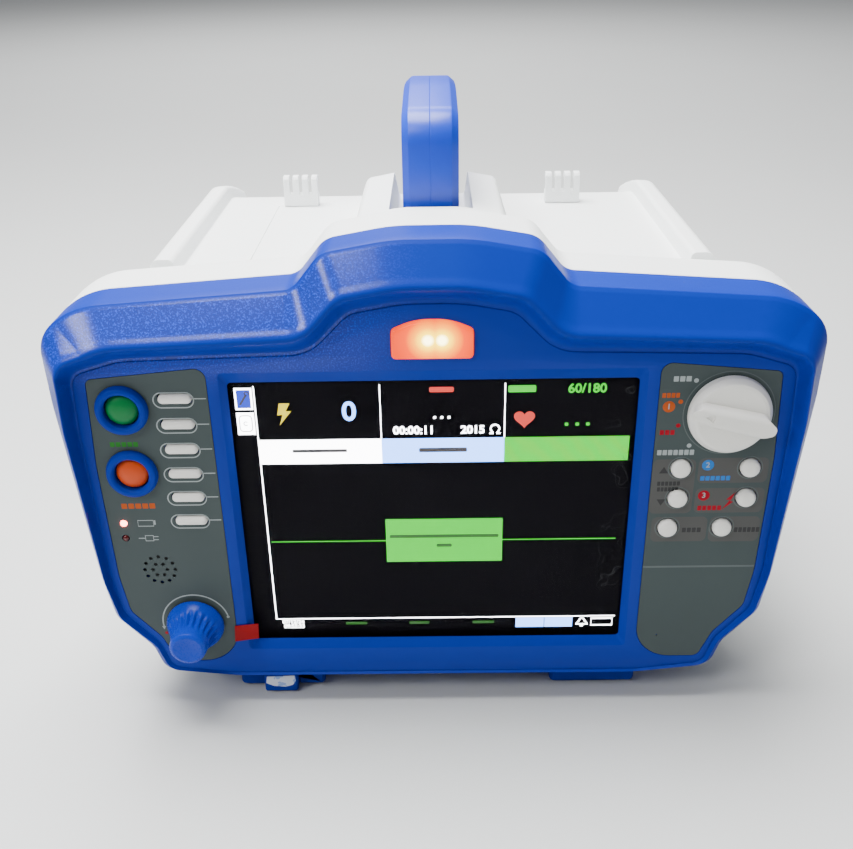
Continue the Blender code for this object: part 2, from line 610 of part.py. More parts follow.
def make_inlet(black, steel):
    x, z = INLET_AT
    face = REAR_Y + 2.4
    inlet = block("mains_inlet", (x - 12, x + 12), (REAR_Y - 16, face), (z - 8.8, z + 8.8), black)
    flange = block("flange", (x - 24, x + 24), (REAR_Y + GAP, face), (z - 11.2, z + 11.2), black)
    boolean(inlet, bevel(flange, 1.5, 1), "UNION")
    boolean(inlet, block("inlet_recess", (x - 10.6, x + 10.6), (REAR_Y - 13, REAR_Y + 4), (z - 7, z + 7), black))
    for across, up in ((-5.5, -1.2), (0, 2.4), (5.5, -1.2)):
        blade = block("blade", (x + across - 0.9, x + across + 0.9), (REAR_Y - 14, REAR_Y - 3.5),
                      (z + up - 2, z + up + 2), black)
        boolean(inlet, blade, "UNION")
    profile = [(0, 3.5), (2.2, 3.5), (2.6, 3.1), (2.6, 1.8), (5.6, 1.8), (5.6, GAP), (2.9, GAP), (2.9, -9), (0, -9)]
    turned("earth_stud", profile, (STUD_AT[0], REAR_Y, STUD_AT[1]), "Y", steel, 12)


# ---- recorder ----

def make_recorder(grey, white, black, paper, steel, blue):
    low, high = RECORDER_Y
    hinge_x, hinge_z = RECORDER_HINGE
    front_x = 144.0
    frame = block("recorder_frame", (93, front_x), (low, high), (RECORDER_Z[0] - 6.4, RECORDER_Z[1]), grey)
    boolean(frame, block("frame_hollow", (95.5, front_x + 8), (low + 2.5, high - 2.5),
                         (RECORDER_Z[0] - 4.4, RECORDER_Z[1] - 2.5), grey))
    for lug in ((low, low + 5.5), (high - 5.5, high)):
        boolean(frame, block("lug", (hinge_x - 6, hinge_x + 2.4), lug, (RECORDER_Z[0] - 6.4, hinge_z + 2.4), grey),
                "UNION")
    drill(frame, (hinge_x, low - 1, hinge_z), "Y", 1.55, high - low + 2, 12)
    cylinder("recorder_hinge_pin", (hinge_x, low + 0.6, hinge_z), "Y", 1.2, high - low - 1.2, steel, 12)
    make_recorder_door(low, high, hinge_x, hinge_z, white)
    paper_y = low + 10
    roll = baked(cylinder("paper_roll", (PAPER_AT[0], paper_y, PAPER_AT[1]), "Y", PAPER_R, 50, paper, 28))
    drill(roll, (PAPER_AT[0], paper_y - 1, PAPER_AT[1]), "Y", 6.0, 52, 16)
    set_origin(roll, at(PAPER_AT[0], paper_y, PAPER_AT[1]))
    profile = [(0, 61), (2, 61), (2, 56), (PLATEN_R, 56), (PLATEN_R, 5), (2, 5), (2, 0), (0, 0)]
    turned("platen_roller", profile, (PLATEN_AT[0], low + 4.5, PLATEN_AT[1]), "Y", black, 16)
    latch_y = (low + high) / 2
    latch = block("recorder_latch", (BODY_X - 3.6, BODY_X + 1.8), (latch_y - 8, latch_y + 8),
                  (RECORDER_Z[1] - 8.6, RECORDER_Z[1] - 3.2), blue)
    bevel(latch, 0.6, 1)


def make_recorder_door(low, high, hinge_x, hinge_z, white):
    """The door carries the platen on two arms, and turns on knuckles round the hinge pin."""
    inner, outer = BODY_X - 2.8, BODY_X + 0.6
    door = block("recorder_door", (inner, outer), (low, high), (hinge_z, RECORDER_Z[1]), white)
    for end in ((low - 1, low + 6), (high - 6, high + 1)):
        boolean(door, block("notch", (inner - 1, outer + 1), end, (hinge_z - 1, hinge_z + 4.4), white))
    boolean(door, baked(cylinder("knuckle", (hinge_x, low + 6, hinge_z), "Y", 2.5, high - low - 12, white, 16)),
            "UNION")
    drill(door, (hinge_x, low, hinge_z), "Y", 1.55, high - low, 12)
    for end in (low + 6.2, high - 9.2):
        arm = block("arm", (PLATEN_AT[0] - 4, inner + 1), (end, end + 3), (PLATEN_AT[1] - 4, PLATEN_AT[1] + 4), white)
        boolean(door, arm, "UNION")
    drill(door, (PLATEN_AT[0], low, PLATEN_AT[1]), "Y", 2.35, high - low, 12)
    latch_y = (low + high) / 2
    boolean(door, block("latch_hole", (inner - 1, outer + 1), (latch_y - 8.4, latch_y + 8.4),
                        (RECORDER_Z[1] - 9, RECORDER_Z[1] - 2.8), white))
    boolean(door, block("paper_slot", (inner - 1, outer + 1), (low + 9, high - 9),
                        (RECORDER_Z[1] - 14.5, RECORDER_Z[1] - 12.5), white))
    set_origin(door, at(hinge_x, (low + high) / 2, hinge_z))


# ---- sockets and inner pieces ----

def make_sockets(black, grey):
    y, z = ECG_AT
    wall = -BODY_X
    profile = [(0, -16), (11, -16), (11, GAP), (13.5, GAP), (13.5, 2.2), (12.4, 3.2), (8.5, 3.2), (8.5, -9),
               (2.2, -9), (2.2, -4), (0, -4)]
    turned("ecg_socket", list(reversed(profile)), (wall, y, z), "-X", grey, 20)
    y, z = PADDLE_AT
    socket = block("paddle_socket", (wall - 2.6, wall + 18), (y - 18, y + 18), (z - 12, z + 12), black)
    flange = block("flange", (wall - 2.6, wall - GAP), (y - 21, y + 21), (z - 15, z + 15), black)
    boolean(socket, bevel(flange, 1.5, 1), "UNION")
    boolean(socket, block("socket_recess", (wall - 5, wall + 12), (y - 15, y + 15), (z - 9, z + 9), black))
    for across in (-9, 0, 9):
        boolean(socket, block("contact", (wall + 4, wall + 13), (y + across - 1.2, y + across + 1.2),
                              (z - 3, z + 3), black), "UNION")


def make_inside(steel, board, black, grey):
    plate = block("chassis", (-122, 84), (SEAM_Y + 5, SEAM_Y + 6.5), (-64, 88), steel)
    boolean(plate, block("shelf", (-84, 60), (SEAM_Y + 5.5, 88), (-15.6, -14), steel), "UNION")
    card = block("main_board", (-110, 82), (SEAM_Y + 12, SEAM_Y + 13.6), (-8, 86), board)
    for x, z, wide, tall in ((-60, 50, 26, 26), (10, 55, 32, 20), (50, 15, 18, 30), (-30, 10, 30, 12)):
        chip = block("chip", (x - wide / 2, x + wide / 2), (SEAM_Y + 13, SEAM_Y + 17),
                     (z - tall / 2, z + tall / 2), board)
        boolean(card, chip, "UNION")
    cylinder("hv_capacitor", (-52, -34, 11), "Y", 24, 100, grey, 28)
    bevel(block("hv_module", (-22, 52), (-44, 60), (-13.6, 34), black), 2, 1)
    bevel(block("power_supply", (12, 84), (-6, 88), (-80, -20), steel), 1, 1)


def main():
    clear_scene()
    blue = material("blue_plastic", BLUE, 0.42)
    white = material("white_plastic", WHITE, 0.5)
    button_white = material("button_white", (0.78, 0.77, 0.72), 0.4)
    grey = material("overlay_grey", GREY, 0.5)
    black = material("black_plastic", (0.02, 0.02, 0.022), 0.5)
    steel = material("steel", (0.55, 0.55, 0.56), 0.35, 1.0)
    rubber = material("rubber", (0.03, 0.03, 0.03), 0.8)
    board = material("circuit_board", (0.02, 0.16, 0.06), 0.5)
    red = material("red_film", (0.45, 0.01, 0.01), 0.35)
    paper = material("paper", (0.85, 0.85, 0.83), 0.8)
    glass = material("window", (0.02, 0.02, 0.025), 0.08)
    amber = material("lamp_amber", (1.0, 0.32, 0.03), 0.25)
    green = material("button_green", (0.01, 0.28, 0.08), 0.4)
    orange = material("button_orange", (0.85, 0.16, 0.03), 0.4)

    bezel = make_bezel(blue)
    cut_controls(bezel, 1)
    cut_controls(bezel, -1)
    make_overlays(grey)
    make_display(glass, black, red, amber)
    make_buttons(button_white, green, orange, blue)
    make_mode_knob(button_white, black)
    make_jog_knob(blue, steel, black)
    make_behind_panel(board, black, red, steel)
    make_rear_shell(white)
    make_handle(blue)
    make_clip("left_paddle_clip", -1, white)
    make_clip("right_paddle_clip", 1, white)
    make_skid(-1, "left_skid", "left_skid_pad", blue, rubber)
    make_skid(1, "right_skid", "right_skid_pad", blue, rubber)
    make_catch(blue)
    make_battery(black, grey, blue)
    make_inlet(black, steel)
    make_recorder(grey, white, rubber, paper, steel, blue)
    make_sockets(black, grey)
    make_inside(steel, board, black, grey)
    for made in collection("defibrillator").objects:
        smooth(made)
    cutters = bpy.data.collections.get("cutters")
    if cutters and not cutters.objects:
        bpy.data.collections.remove(cutters)


if __name__ == "__main__":
    main()
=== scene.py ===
"""The finished look of a bench-top defibrillator monitor, built over its fixed frame of solids.

+X is to the viewer's right, +Y to the back and +Z up. Sizes in the tables are in millimetres, and
heights in them are measured from the middle of the screen.
"""
import math

import bmesh
import bpy
from mathutils import Matrix, Vector


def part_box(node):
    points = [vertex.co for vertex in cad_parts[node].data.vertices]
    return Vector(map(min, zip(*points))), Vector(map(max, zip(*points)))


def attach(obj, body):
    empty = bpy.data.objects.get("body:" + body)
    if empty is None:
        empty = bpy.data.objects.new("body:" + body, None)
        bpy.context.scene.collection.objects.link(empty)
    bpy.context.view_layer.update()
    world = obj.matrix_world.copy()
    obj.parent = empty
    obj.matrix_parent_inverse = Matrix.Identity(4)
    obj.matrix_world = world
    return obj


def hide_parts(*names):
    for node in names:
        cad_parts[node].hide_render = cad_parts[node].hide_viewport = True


bl_info = {
    "name": "Defibrillator monitor looks",
    "version": (1, 0, 0),
    "blender": (4, 5, 0),
    "location": "3D View > Sidebar > Monitor",
    "description": "Builds the visible pieces of a defibrillator monitor over its frame",
    "category": "Object",
}

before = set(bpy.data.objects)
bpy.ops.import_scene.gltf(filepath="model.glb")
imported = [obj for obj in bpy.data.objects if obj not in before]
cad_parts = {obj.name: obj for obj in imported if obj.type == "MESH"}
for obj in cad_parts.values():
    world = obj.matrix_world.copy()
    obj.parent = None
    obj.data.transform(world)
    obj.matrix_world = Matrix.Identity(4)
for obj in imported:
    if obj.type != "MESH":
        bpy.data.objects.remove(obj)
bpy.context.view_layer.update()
MM = 0.001
SCREEN_Z = sum(corner.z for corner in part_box("display_window")) / 2 / MM


def span(node):
    """Lowest and highest corner of a node in millimetres, with heights from the screen's middle."""
    shift = Vector((0, 0, SCREEN_Z))
    return [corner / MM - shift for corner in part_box(node)]


def middle(node):
    low, high = span(node)
    return (low + high) / 2


GLASS_Y = span("display_window")[0].y
PANEL_Y = GLASS_Y - 5.0
OVERLAY_Y = span("left_overlay")[0].y
EDGE_Y = PANEL_Y + 2.0
SEAM_Y = PANEL_Y + 23.0
COLLAR_Y = SEAM_Y + 30.0
REAR_Y = 113.0
FLOOR_Z = 100.0
BODY_X = 148.0
BODY_BOTTOM = -87.0
WALL = 3.0
BUTTON_HOLE, SHAFT_HOLE = 4.7, 4.4
FLOOR_REACH = 20000
POINTER_TURN = 166.0

# right halves of the front outlines: corner x, corner z, corner radius, top to bottom
RIM_HALF = [(16, 128.6, 90), (44, 123.6, 12), (56, 108.8, 9), (146, 102.6, 37), (162.2, 90, 17),
            (161.5, 60, 60), (154.5, -30, 60), (151, -52, 12), (136, -69.5, 13), (131.5, -83.5, 8),
            (95, -87.4, 60)]
PANEL_HALF = [(12, 102.6, 70), (34, 98.6, 13), (51, 81.2, 20), (130, 79.2, 37), (150.6, 73, 7),
              (151.4, 45, 40), (149.6, -28, 60), (146.2, -48.5, 11), (131.6, -66.2, 12), (127.2, -80.6, 7),
              (95, -84.4, 60)]
OVERLAY = [(94.4, 76.2, 5), (145.2, 71.4, 3), (147, 30, 60), (145.9, -28, 50), (143.2, -47.5, 9),
           (130.6, -62.5, 8), (124.6, -77, 4), (94.4, -77, 17)]
LAMP_HALF = [(7, 95.9, 28), (16.9, 91.8, 3), (16.9, 79.2, 2)]
BODY_HALF = [(114, FLOOR_Z, 0.6), (115.5, 107, 2.5), (124.5, 107, 4.5), (129, 94, 10), (BODY_X, 62, 24),
             (BODY_X, -52, 26), (126, BODY_BOTTOM, 16)]
HUMP = [(-40, 92, 0.5), (-40, 99, 0.5), (-32.5, 123.6, 4), (-14, 127.2, 50), (14, 127.2, 50), (32.5, 123.6, 4),
        (40, 99, 0.5), (40, 92, 0.5)]
ROUND_BUTTONS = ("energy_up_button", "energy_down_button", "charge_button", "shock_button", "sync_button",
                 "disarm_button")
SOFT_KEYS = ["soft_key_%d" % number for number in range(1, 7)]


# ---- node graphs ----

class Number:
    """A number socket. Python arithmetic on it adds Math nodes."""

    def __init__(self, graph, socket):
        self.graph, self.socket = graph, socket

    def math(self, operation, *others):
        return self.graph.math(operation, self, *others)

    def __add__(self, other):
        return self.math("ADD", other)

    def __sub__(self, other):
        return self.math("SUBTRACT", other)

    def __rsub__(self, other):
        return self.graph.math("SUBTRACT", other, self)

    def __mul__(self, other):
        return self.math("MULTIPLY", other)

    def __truediv__(self, other):
        return self.math("DIVIDE", other)

    def __pow__(self, other):
        return self.math("POWER", other)

    def between(self, low, high):
        """0 below low, 1 above high, with a smooth step in the middle."""
        made = self.graph.node("ShaderNodeMapRange", {"interpolation_type": "SMOOTHSTEP"},
                               {"Value": self, "From Min": low, "From Max": high})
        return Number(self.graph, made.outputs[0])


class Graph:
    """The nodes of a material or of a geometry tree."""

    def __init__(self, tree):
        self.tree = tree

    def node(self, kind, settings=None, sockets=None):
        made = self.tree.nodes.new(kind)
        for name, value in (settings or {}).items():
            if name == "stops":
                while len(made.color_ramp.elements) < len(value):
                    made.color_ramp.elements.new(0.5)
                for element, (position, colour) in zip(made.color_ramp.elements, value):
                    element.position, element.color = position, (*colour, 1.0)
            else:
                setattr(made, name, value)
        for name, value in (sockets or {}).items():
            if isinstance(value, Number):
                value = value.socket
            if isinstance(value, bpy.types.NodeSocket):
                self.tree.links.new(value, made.inputs[name])
            else:
                made.inputs[name].default_value = value
        return made

    def math(self, operation, *values):
        made = self.node("ShaderNodeMath", {"operation": operation}, dict(enumerate(values)))
        return Number(self, made.outputs[0])

    def mix(self, share, one, two):
        """A colour part of the way from one to two."""
        sockets = {0: share, 6: (*one, 1.0) if isinstance(one, tuple) else one,
                   7: (*two, 1.0) if isinstance(two, tuple) else two}
        return self.node("ShaderNodeMix", {"data_type": "RGBA"}, sockets).outputs[2]

    def point(self):
        return self.node("ShaderNodeTexCoord").outputs["Object"]

    def axes(self, vector):
        made = self.node("ShaderNodeSeparateXYZ", None, {0: vector})
        return [Number(self, made.outputs[axis]) for axis in range(3)]

    def noise(self, size, detail=2.0, vector=None):
        """Clouds whose blobs are about one size across, in millimetres."""
        sockets = {"Vector": vector or self.point(), "Scale": 1 / (size * MM), "Detail": detail}
        return Number(self, self.node("ShaderNodeTexNoise", None, sockets).outputs[0])


class Paint(Graph):
    """One material round a Principled shader."""

    def __init__(self, name, **fixed):
        self.material = bpy.data.materials.new(name)
        self.material.use_nodes = True
        super().__init__(self.material.node_tree)
        self.shader = self.tree.nodes["Principled BSDF"]
        for socket, value in fixed.items():
            self.set(socket.replace("_", " "), value)

    def set(self, socket, value):
        names = {name.lower(): name for name in self.shader.inputs.keys()}
        target = self.shader.inputs[names[socket.lower()]]
        if isinstance(value, Number):
            value = value.socket
        if isinstance(value, bpy.types.NodeSocket):
            self.tree.links.new(value, target)
        elif isinstance(value, tuple) and len(value) == 3:
            target.default_value = (*value, 1.0)
        else:
            target.default_value = value

    def relief(self, height, depth):
        """Bumps of a depth in millimetres."""
        bump = self.node("ShaderNodeBump", None, {"Height": height, "Distance": depth * MM, "Strength": 1.0})
        self.set("Normal", bump.outputs[0])


# ---- finishes ----

def scaled(colour, factor):
    return tuple(min(1.0, part * factor) for part in colour)


def moulded(name, colour, roughness, grain, depth, cloud, specular):
    """Moulded plastic: a fine grain in the relief and the gloss, and a faint cloudy change of colour."""
    paint = Paint(name, specular_ior_level=specular)
    fine = paint.noise(grain, 3.0)
    clouds = paint.noise(38.0, 2.0)
    paint.set("Base Color", paint.mix(clouds, scaled(colour, 1 - cloud), scaled(colour, 1 + cloud)))
    paint.set("Roughness", (fine - 0.5) * 0.16 + roughness)
    paint.relief(fine, depth)
    return paint.material


def rim_band(name):
    """The rim's sloping band: EDM-eroded grain in its relief, coarse at the top left, where a clear coat is added
    and painted glints lighten the base colour in specks.
    """
    colour = tuple(bpy.context.scene.monitor_colours.blue)
    paint = Paint(name, specular_ior_level=0.12, coat_roughness=0.16)
    coarse = paint.noise(0.75, 2.0)
    fine = paint.noise(0.5, 1.0)
    x, y, z = paint.axes(paint.point())
    band = (z / MM).between(SCREEN_Z + 62, SCREEN_Z + 84) * (1 - (x / MM).between(-52, 6)) * (
        1 - (y / MM).between(EDGE_Y - 1.0, EDGE_Y)) * (y / MM).between(PANEL_Y - 7.9, PANEL_Y - 6.4)
    painted_glint = coarse.between(0.52, 0.62)
    # painted glints: specks of the base colour over the top-left patch are made 3.2 times lighter, standing in for
    # light glittering off the grain
    paint.set("Base Color", paint.mix(painted_glint * band * 0.55, colour, scaled(colour, 3.2)))
    paint.set("Coat Weight", band * 0.45)
    paint.set("Roughness", (fine - 0.5) * 0.2 + 0.40)
    paint.relief(coarse * (band * 0.92 + 0.08), 0.16)
    return paint.material


def lit(name, colour, strength, ripple=0.0):
    """A lit part of the display, with the faint rippled unevenness of its backlight."""
    paint = Paint(name, roughness=0.3, emission_strength=strength)
    paint.set("Base Color", scaled(colour, 0.1))
    clouds = paint.noise(14.0, 1.0)
    waves = paint.node("ShaderNodeTexWave", {"wave_type": "BANDS", "bands_direction": "DIAGONAL"},
                       {"Vector": paint.point(), "Scale": 60.0, "Distortion": 6.0})
    share = clouds * 0.12 + Number(paint, waves.outputs[1]) * ripple
    paint.set("Emission Color", paint.mix(share, colour, scaled((colour[0] + 0.3, colour[1], colour[2]), 0.72)))
    return paint.material


def lamp_amber(name):
    """Amber lens, lit from behind by two white points."""
    paint = Paint(name, roughness=0.22, specular_ior_level=0.15, emission_strength=9.0)
    centre = middle("alarm_lamp")
    glow = None
    for x in (-1.8, 4.0):
        spot = Vector((x, span("alarm_lamp")[0].y, centre.z + 0.1)) * MM + Vector((0, 0, SCREEN_Z * MM))
        gap = paint.node("ShaderNodeVectorMath", {"operation": "DISTANCE"}, {0: paint.point(), 1: spot})
        near = 1 - (Number(paint, gap.outputs["Value"]) / MM) / 14.0
        near = near.math("MAXIMUM", 0.0)
        glow = near if glow is None else glow.math("MAXIMUM", near)
    stops = [(0.0, (0.20, 0.010, 0.0)), (0.35, (0.28, 0.018, 0.0)), (0.6, (0.42, 0.13, 0.0)),
             (0.8, (0.6, 0.42, 0.0)), (0.9, (1.0, 0.95, 0.5))]
    ramp = paint.node("ShaderNodeValToRGB", {"stops": stops}, {0: glow})
    paint.set("Base Color", (0.35, 0.03, 0.0))
    paint.set("Emission Color", ramp.outputs[0])
    return paint.material


def metal(name, colour, roughness):
    """Plated steel with fine drawn lines."""
    paint = Paint(name, metallic=1.0)
    lines = paint.noise(1.2, 3.0, paint.node("ShaderNodeMapping", None, {
        "Vector": paint.point(), "Scale": (1.0, 0.06, 1.0)}).outputs[0])
    paint.set("Base Color", paint.mix(lines, scaled(colour, 0.86), colour))
    paint.set("Roughness", lines * 0.2 + roughness)
    return paint.material


def board(name):
    """Circuit board with paler tracks."""
    paint = Paint(name, roughness=0.4, coat_weight=0.3)
    tracks = paint.node("ShaderNodeTexBrick", {"offset": 0.37}, {
        "Vector": paint.point(), "Scale": 70.0, "Mortar Size": 0.09,
        "Color1": (0.01, 0.11, 0.04, 1), "Color2": (0.012, 0.14, 0.05, 1), "Mortar": (0.03, 0.24, 0.08, 1)})
    paint.set("Base Color", tracks.outputs[0])
    return paint.material


def window_pane(name):
    """Clear pane under a thin protective film with a few lifted patches near its right edge."""
    paint = Paint(name, roughness=0.05, specular_ior_level=0.5)
    x = paint.axes(paint.point())[0]
    edge = (x / MM).between(68, 84)
    blobs = paint.noise(11.0, 1.0)
    rims = (1 - ((blobs - 0.60).math("ABSOLUTE") / 0.012)).math("MAXIMUM", 0.0)
    smear = paint.noise(60.0, 3.0)
    paint.set("Base Color", (0.03, 0.035, 0.04))
    paint.set("Alpha", rims * edge * 0.3 + smear * 0.02 + 0.01)
    return paint.material


def lens_red(name, glow):
    """Small red lens, lit or dark."""
    paint = Paint(name, roughness=0.15, emission_strength=glow)
    shade = paint.noise(1.5)
    paint.set("Base Color", paint.mix(shade, (0.05, 0.0, 0.002), (0.09, 0.001, 0.002)))
    paint.set("Emission Color", (1.0, 0.12, 0.08))
    return paint.material


def label_white(name):
    """Torn paper seal."""
    paint = Paint(name, roughness=0.7)
    blots = paint.noise(4.0, 4.0).between(0.52, 0.56)
    paint.set("Base Color", paint.mix(blots, (0.62, 0.66, 0.74), (0.25, 0.36, 0.62)))
    return paint.material


# colour or setting, its factor, then roughness, grain size, grain depth, cloudiness and specular level
MOULDED = {
    # painted light: the handle gets the rim's blue made 1.7 times lighter, standing in for the brighter light its
    # raised faces catch
    "handle_blue": ("blue", 1.7, 0.34, 0.7, 0.008, 0.06, 0.4),
    "blue": ("blue", 1.0, 0.40, 0.7, 0.006, 0.06, 0.07),
    "knob_blue": ("blue", 1.4, 0.28, 0.8, 0.004, 0.06, 0.15),
    "white": ("white", 1.0, 0.56, 0.6, 0.014, 0.012, 0.5),
    "key_white": ("key_white", 1.0, 0.4, 0.9, 0.004, 0.02, 0.5),
    "grey": ("grey", 1.0, 0.5, 0.45, 0.01, 0.05, 0.12),
    "black": ((0.018, 0.018, 0.02), 1.0, 0.45, 0.5, 0.01, 0.06, 0.5),
    "glass_black": ((0.0022, 0.0016, 0.0032), 1.0, 0.4, 2.0, 0.0, 0.06, 0.03),
    "rubber": ((0.03, 0.03, 0.03), 1.0, 0.8, 0.3, 0.03, 0.06, 0.5),
    "green_button": ((0.0, 0.15, 0.035), 1.0, 0.38, 0.6, 0.012, 0.03, 0.2),
    "orange_button": ((0.52, 0.056, 0.006), 1.0, 0.38, 0.6, 0.012, 0.03, 0.2),
    "red_film": ((0.24, 0.001, 0.003), 1.0, 0.4, 2.5, 0.01, 0.05, 0.1),
    "paper": ((0.85, 0.85, 0.83), 1.0, 0.85, 0.3, 0.02, 0.02, 0.5),
    "ink_white": ((0.30, 0.34, 0.34), 1.0, 0.6, 0.4, 0.0, 0.03, 0.5),
    "ink_black": ((0.006, 0.006, 0.007), 1.0, 0.6, 0.4, 0.0, 0.03, 0.5),
    "ink_orange": ((0.42, 0.075, 0.012), 1.0, 0.6, 0.4, 0.0, 0.03, 0.1),
    "ink_red": ((0.30, 0.003, 0.014), 1.0, 0.6, 0.4, 0.0, 0.03, 0.1),
    "ink_blue": ((0.02, 0.16, 0.50), 1.0, 0.6, 0.4, 0.0, 0.03, 0.1),
    "ink_green": ((0.02, 0.16, 0.02), 1.0, 0.6, 0.4, 0.0, 0.03, 0.1),
    "ink_patch": ((0.074, 0.074, 0.071), 1.0, 0.5, 0.45, 0.01, 0.04, 0.12),
    "ink_faint": ((0.10, 0.12, 0.12), 1.0, 0.5, 0.45, 0.0, 0.04, 0.12),
}
# colour, strength and ripple
LIT = {
    "lit_white": ((0.92, 0.93, 0.97), 14.0),
    "lit_pale": ((0.13, 0.33, 0.90), 8.0),
    "lit_green": ((0.0, 1.0, 0.0), 1.4, 0.35),
    "lit_box": ((0.0, 1.0, 0.0), 1.3),
    "lit_yellow": ((1.0, 0.80, 0.0), 1.8),
    "lit_red": ((1.0, 0.05, 0.03), 1.4),
    "lit_blue": ((0.0, 0.06, 1.0), 1.3),
    "lit_dark": ((0.0, 0.16, 0.0), 1.0),
    "lit_grey": ((0.06, 0.065, 0.075), 1.0),
}
# the function that makes the finish, and its values
SPECIAL = {
    "band": (rim_band,), "steel": (metal, (0.6, 0.6, 0.62), 0.28), "board": (board,), "window": (window_pane,),
    "lamp": (lamp_amber,), "led_on": (lens_red, 30.0), "led_off": (lens_red, 0.0), "seal": (label_white,),
}


def finish(name):
    """The material of that name, made the first time it is asked for."""
    full = "monitor_" + name
    if full in bpy.data.materials:
        return bpy.data.materials[full]
    if name in MOULDED:
        colour, factor, roughness, grain, depth, cloud, specular = MOULDED[name]
        if isinstance(colour, str):
            colour = tuple(getattr(bpy.context.scene.monitor_colours, colour))
        return moulded(full, scaled(colour, factor), roughness, grain, depth, cloud, specular)
    if name in LIT:
        return lit(full, *LIT[name])
    make, *values = SPECIAL[name]
    return make(full, *values)


# ---- outlines ----

def rounded(corners, steps=10, closed=True):
    """Points of an outline whose corners (x, z, radius) are turned into arcs."""
    points = []
    count = len(corners)
    for index, (x, z, radius) in enumerate(corners):
        corner = Vector((x, z))
        if radius == 0 or (not closed and index in (0, count - 1)):
            points.append(corner)
            continue
        before = (Vector(corners[index - 1][:2]) - corner).normalized()
        after = (Vector(corners[(index + 1) % count][:2]) - corner).normalized()
        half = math.acos(max(-1.0, min(1.0, before.dot(after)))) / 2
        centre = corner + (before + after).normalized() * (radius / math.sin(half))
        reach = radius / math.tan(half)
        start, end = corner + before * reach - centre, corner + after * reach - centre
        sweep = start.angle_signed(end)
        points += [centre + Matrix.Rotation(-sweep * step / steps, 2) @ start for step in range(steps + 1)]
    return points


def mirrored(half):
    return half + [(-x, z, radius) for x, z, radius in reversed(half)]


def inset(corners, distance):
    """The outline moved inwards, for one that runs clockwise seen from the front."""
    moved = []
    for index, (x, z, radius) in enumerate(corners):
        corner = Vector((x, z))
        along_in = (corner - Vector(corners[index - 1][:2])).normalized()
        along_out = (Vector(corners[(index + 1) % len(corners)][:2]) - corner).normalized()
        normal_in, normal_out = Vector((along_in.y, -along_in.x)), Vector((along_out.y, -along_out.x))
        shift = (normal_in + normal_out) / (1 + normal_in.dot(normal_out)) * distance
        turn = distance if along_in.x * along_out.y - along_in.y * along_out.x < 0 else -distance
        moved.append((x + shift.x, z + shift.y, max(0.3, radius - turn)))
    return moved


def rectangle(x0, x1, z0, z1, radius=0.5):
    return [(x0, z1, radius), (x1, z1, radius), (x1, z0, radius), (x0, z0, radius)]


def round_box(node, axes=(0, 2), radius=0.5):
    """The outline of a node's box, seen along the remaining axis."""
    low, high = span(node)
    one, two = axes
    return rectangle(low[one], high[one], low[two], high[two], radius)


def disc(x, z, radius, count=32):
    turns = [-2 * math.pi * step / count for step in range(count)]
    return [Vector((x + radius * math.cos(turn), z + radius * math.sin(turn))) for turn in turns]


def arc(x, z, radius, start, end, count=24):
    """Points on part of a circle, by angles in degrees anticlockwise from +X seen from the front."""
    turns = [math.radians(start + (end - start) * step / count) for step in range(count + 1)]
    return [Vector((x + radius * math.cos(turn), z + radius * math.sin(turn))) for turn in turns]


# ---- solids ----

def as_piece(name, work, *finishes):
    """An object from a bmesh given in millimetres."""
    bmesh.ops.remove_doubles(work, verts=work.verts, dist=0.0005)
    bmesh.ops.dissolve_degenerate(work, edges=work.edges, dist=0.0002)
    bmesh.ops.recalc_face_normals(work, faces=work.faces)
    bmesh.ops.transform(work, verts=work.verts, matrix=Matrix.Diagonal((MM, MM, MM, 1)) @ Matrix.Translation(
        (0, 0, SCREEN_Z)))
    mesh = bpy.data.meshes.new(name)
    work.to_mesh(mesh)
    work.free()
    piece = bpy.data.objects.new(name, mesh)
    bpy.context.scene.collection.objects.link(piece)
    for material in finishes:
        mesh.materials.append(finish(material) if isinstance(material, str) else material)
    return piece


def loft(name, loops, material, ring=False):
    """A closed solid through loops of equal length. With ring, the last loop joins the first."""
    work = bmesh.new()
    rows = [[work.verts.new(point) for point in loop] for loop in loops]
    pairs = list(zip(rows, rows[1:])) + ([(rows[-1], rows[0])] if ring else [])
    count = len(rows[0])
    for lower, upper in pairs:
        for index in range(count):
            after = (index + 1) % count
            work.faces.new((lower[index], lower[after], upper[after], upper[index]))
    if not ring:
        work.faces.new(list(reversed(rows[0])))
        work.faces.new(rows[-1])
    return as_piece(name, work, material)


def on_axis(axis, one, two, along):
    """A point from two coordinates across an axis and one along it."""
    return {"X": (along, one, two), "Y": (one, along, two), "Z": (one, two, along)}[axis]


def slab(name, points, low, high, material, axis="Y", edge=0.0, ends=(True, True)):
    """An outline given thickness along an axis. With edge, chosen ends have rounded rims."""
    levels = [(low, 0.0), (high, 0.0)]
    if edge:
        steps = [math.radians(turn) for turn in (0, 30, 60, 90)]
        near = [(low + edge * (1 - math.sin(turn)), edge * (1 - math.cos(turn))) for turn in reversed(steps)]
        far = [(high - edge * (1 - math.sin(turn)), edge * (1 - math.cos(turn))) for turn in steps]
        levels = (near if ends[0] else [(low, 0.0)]) + (far if ends[1] else [(high, 0.0)])
    loops = [[on_axis(axis, p[0], p[1], along) for p in drawn_in(points, by)] for along, by in levels]
    return loft(name, loops, material)


def drawn_in(points, by):
    """Closed points moved inwards along their own normals."""
    if not by:
        return points
    area = sum(a[0] * b[1] - b[0] * a[1] for a, b in zip(points, points[1:] + points[:1]))
    side = 1 if area > 0 else -1
    moved = []
    for index, point in enumerate(points):
        before, after = points[index - 1], points[(index + 1) % len(points)]
        along_in = Vector((point[0] - before[0], point[1] - before[1])).normalized()
        along_out = Vector((after[0] - point[0], after[1] - point[1])).normalized()
        normal = Vector((-along_in.y - along_out.y, along_in.x + along_out.x)) * side
        length = normal.length
        moved.append(Vector(point) + normal / max(length, 0.2) * by * min(2 / max(length, 0.2), 1.6))
    return moved


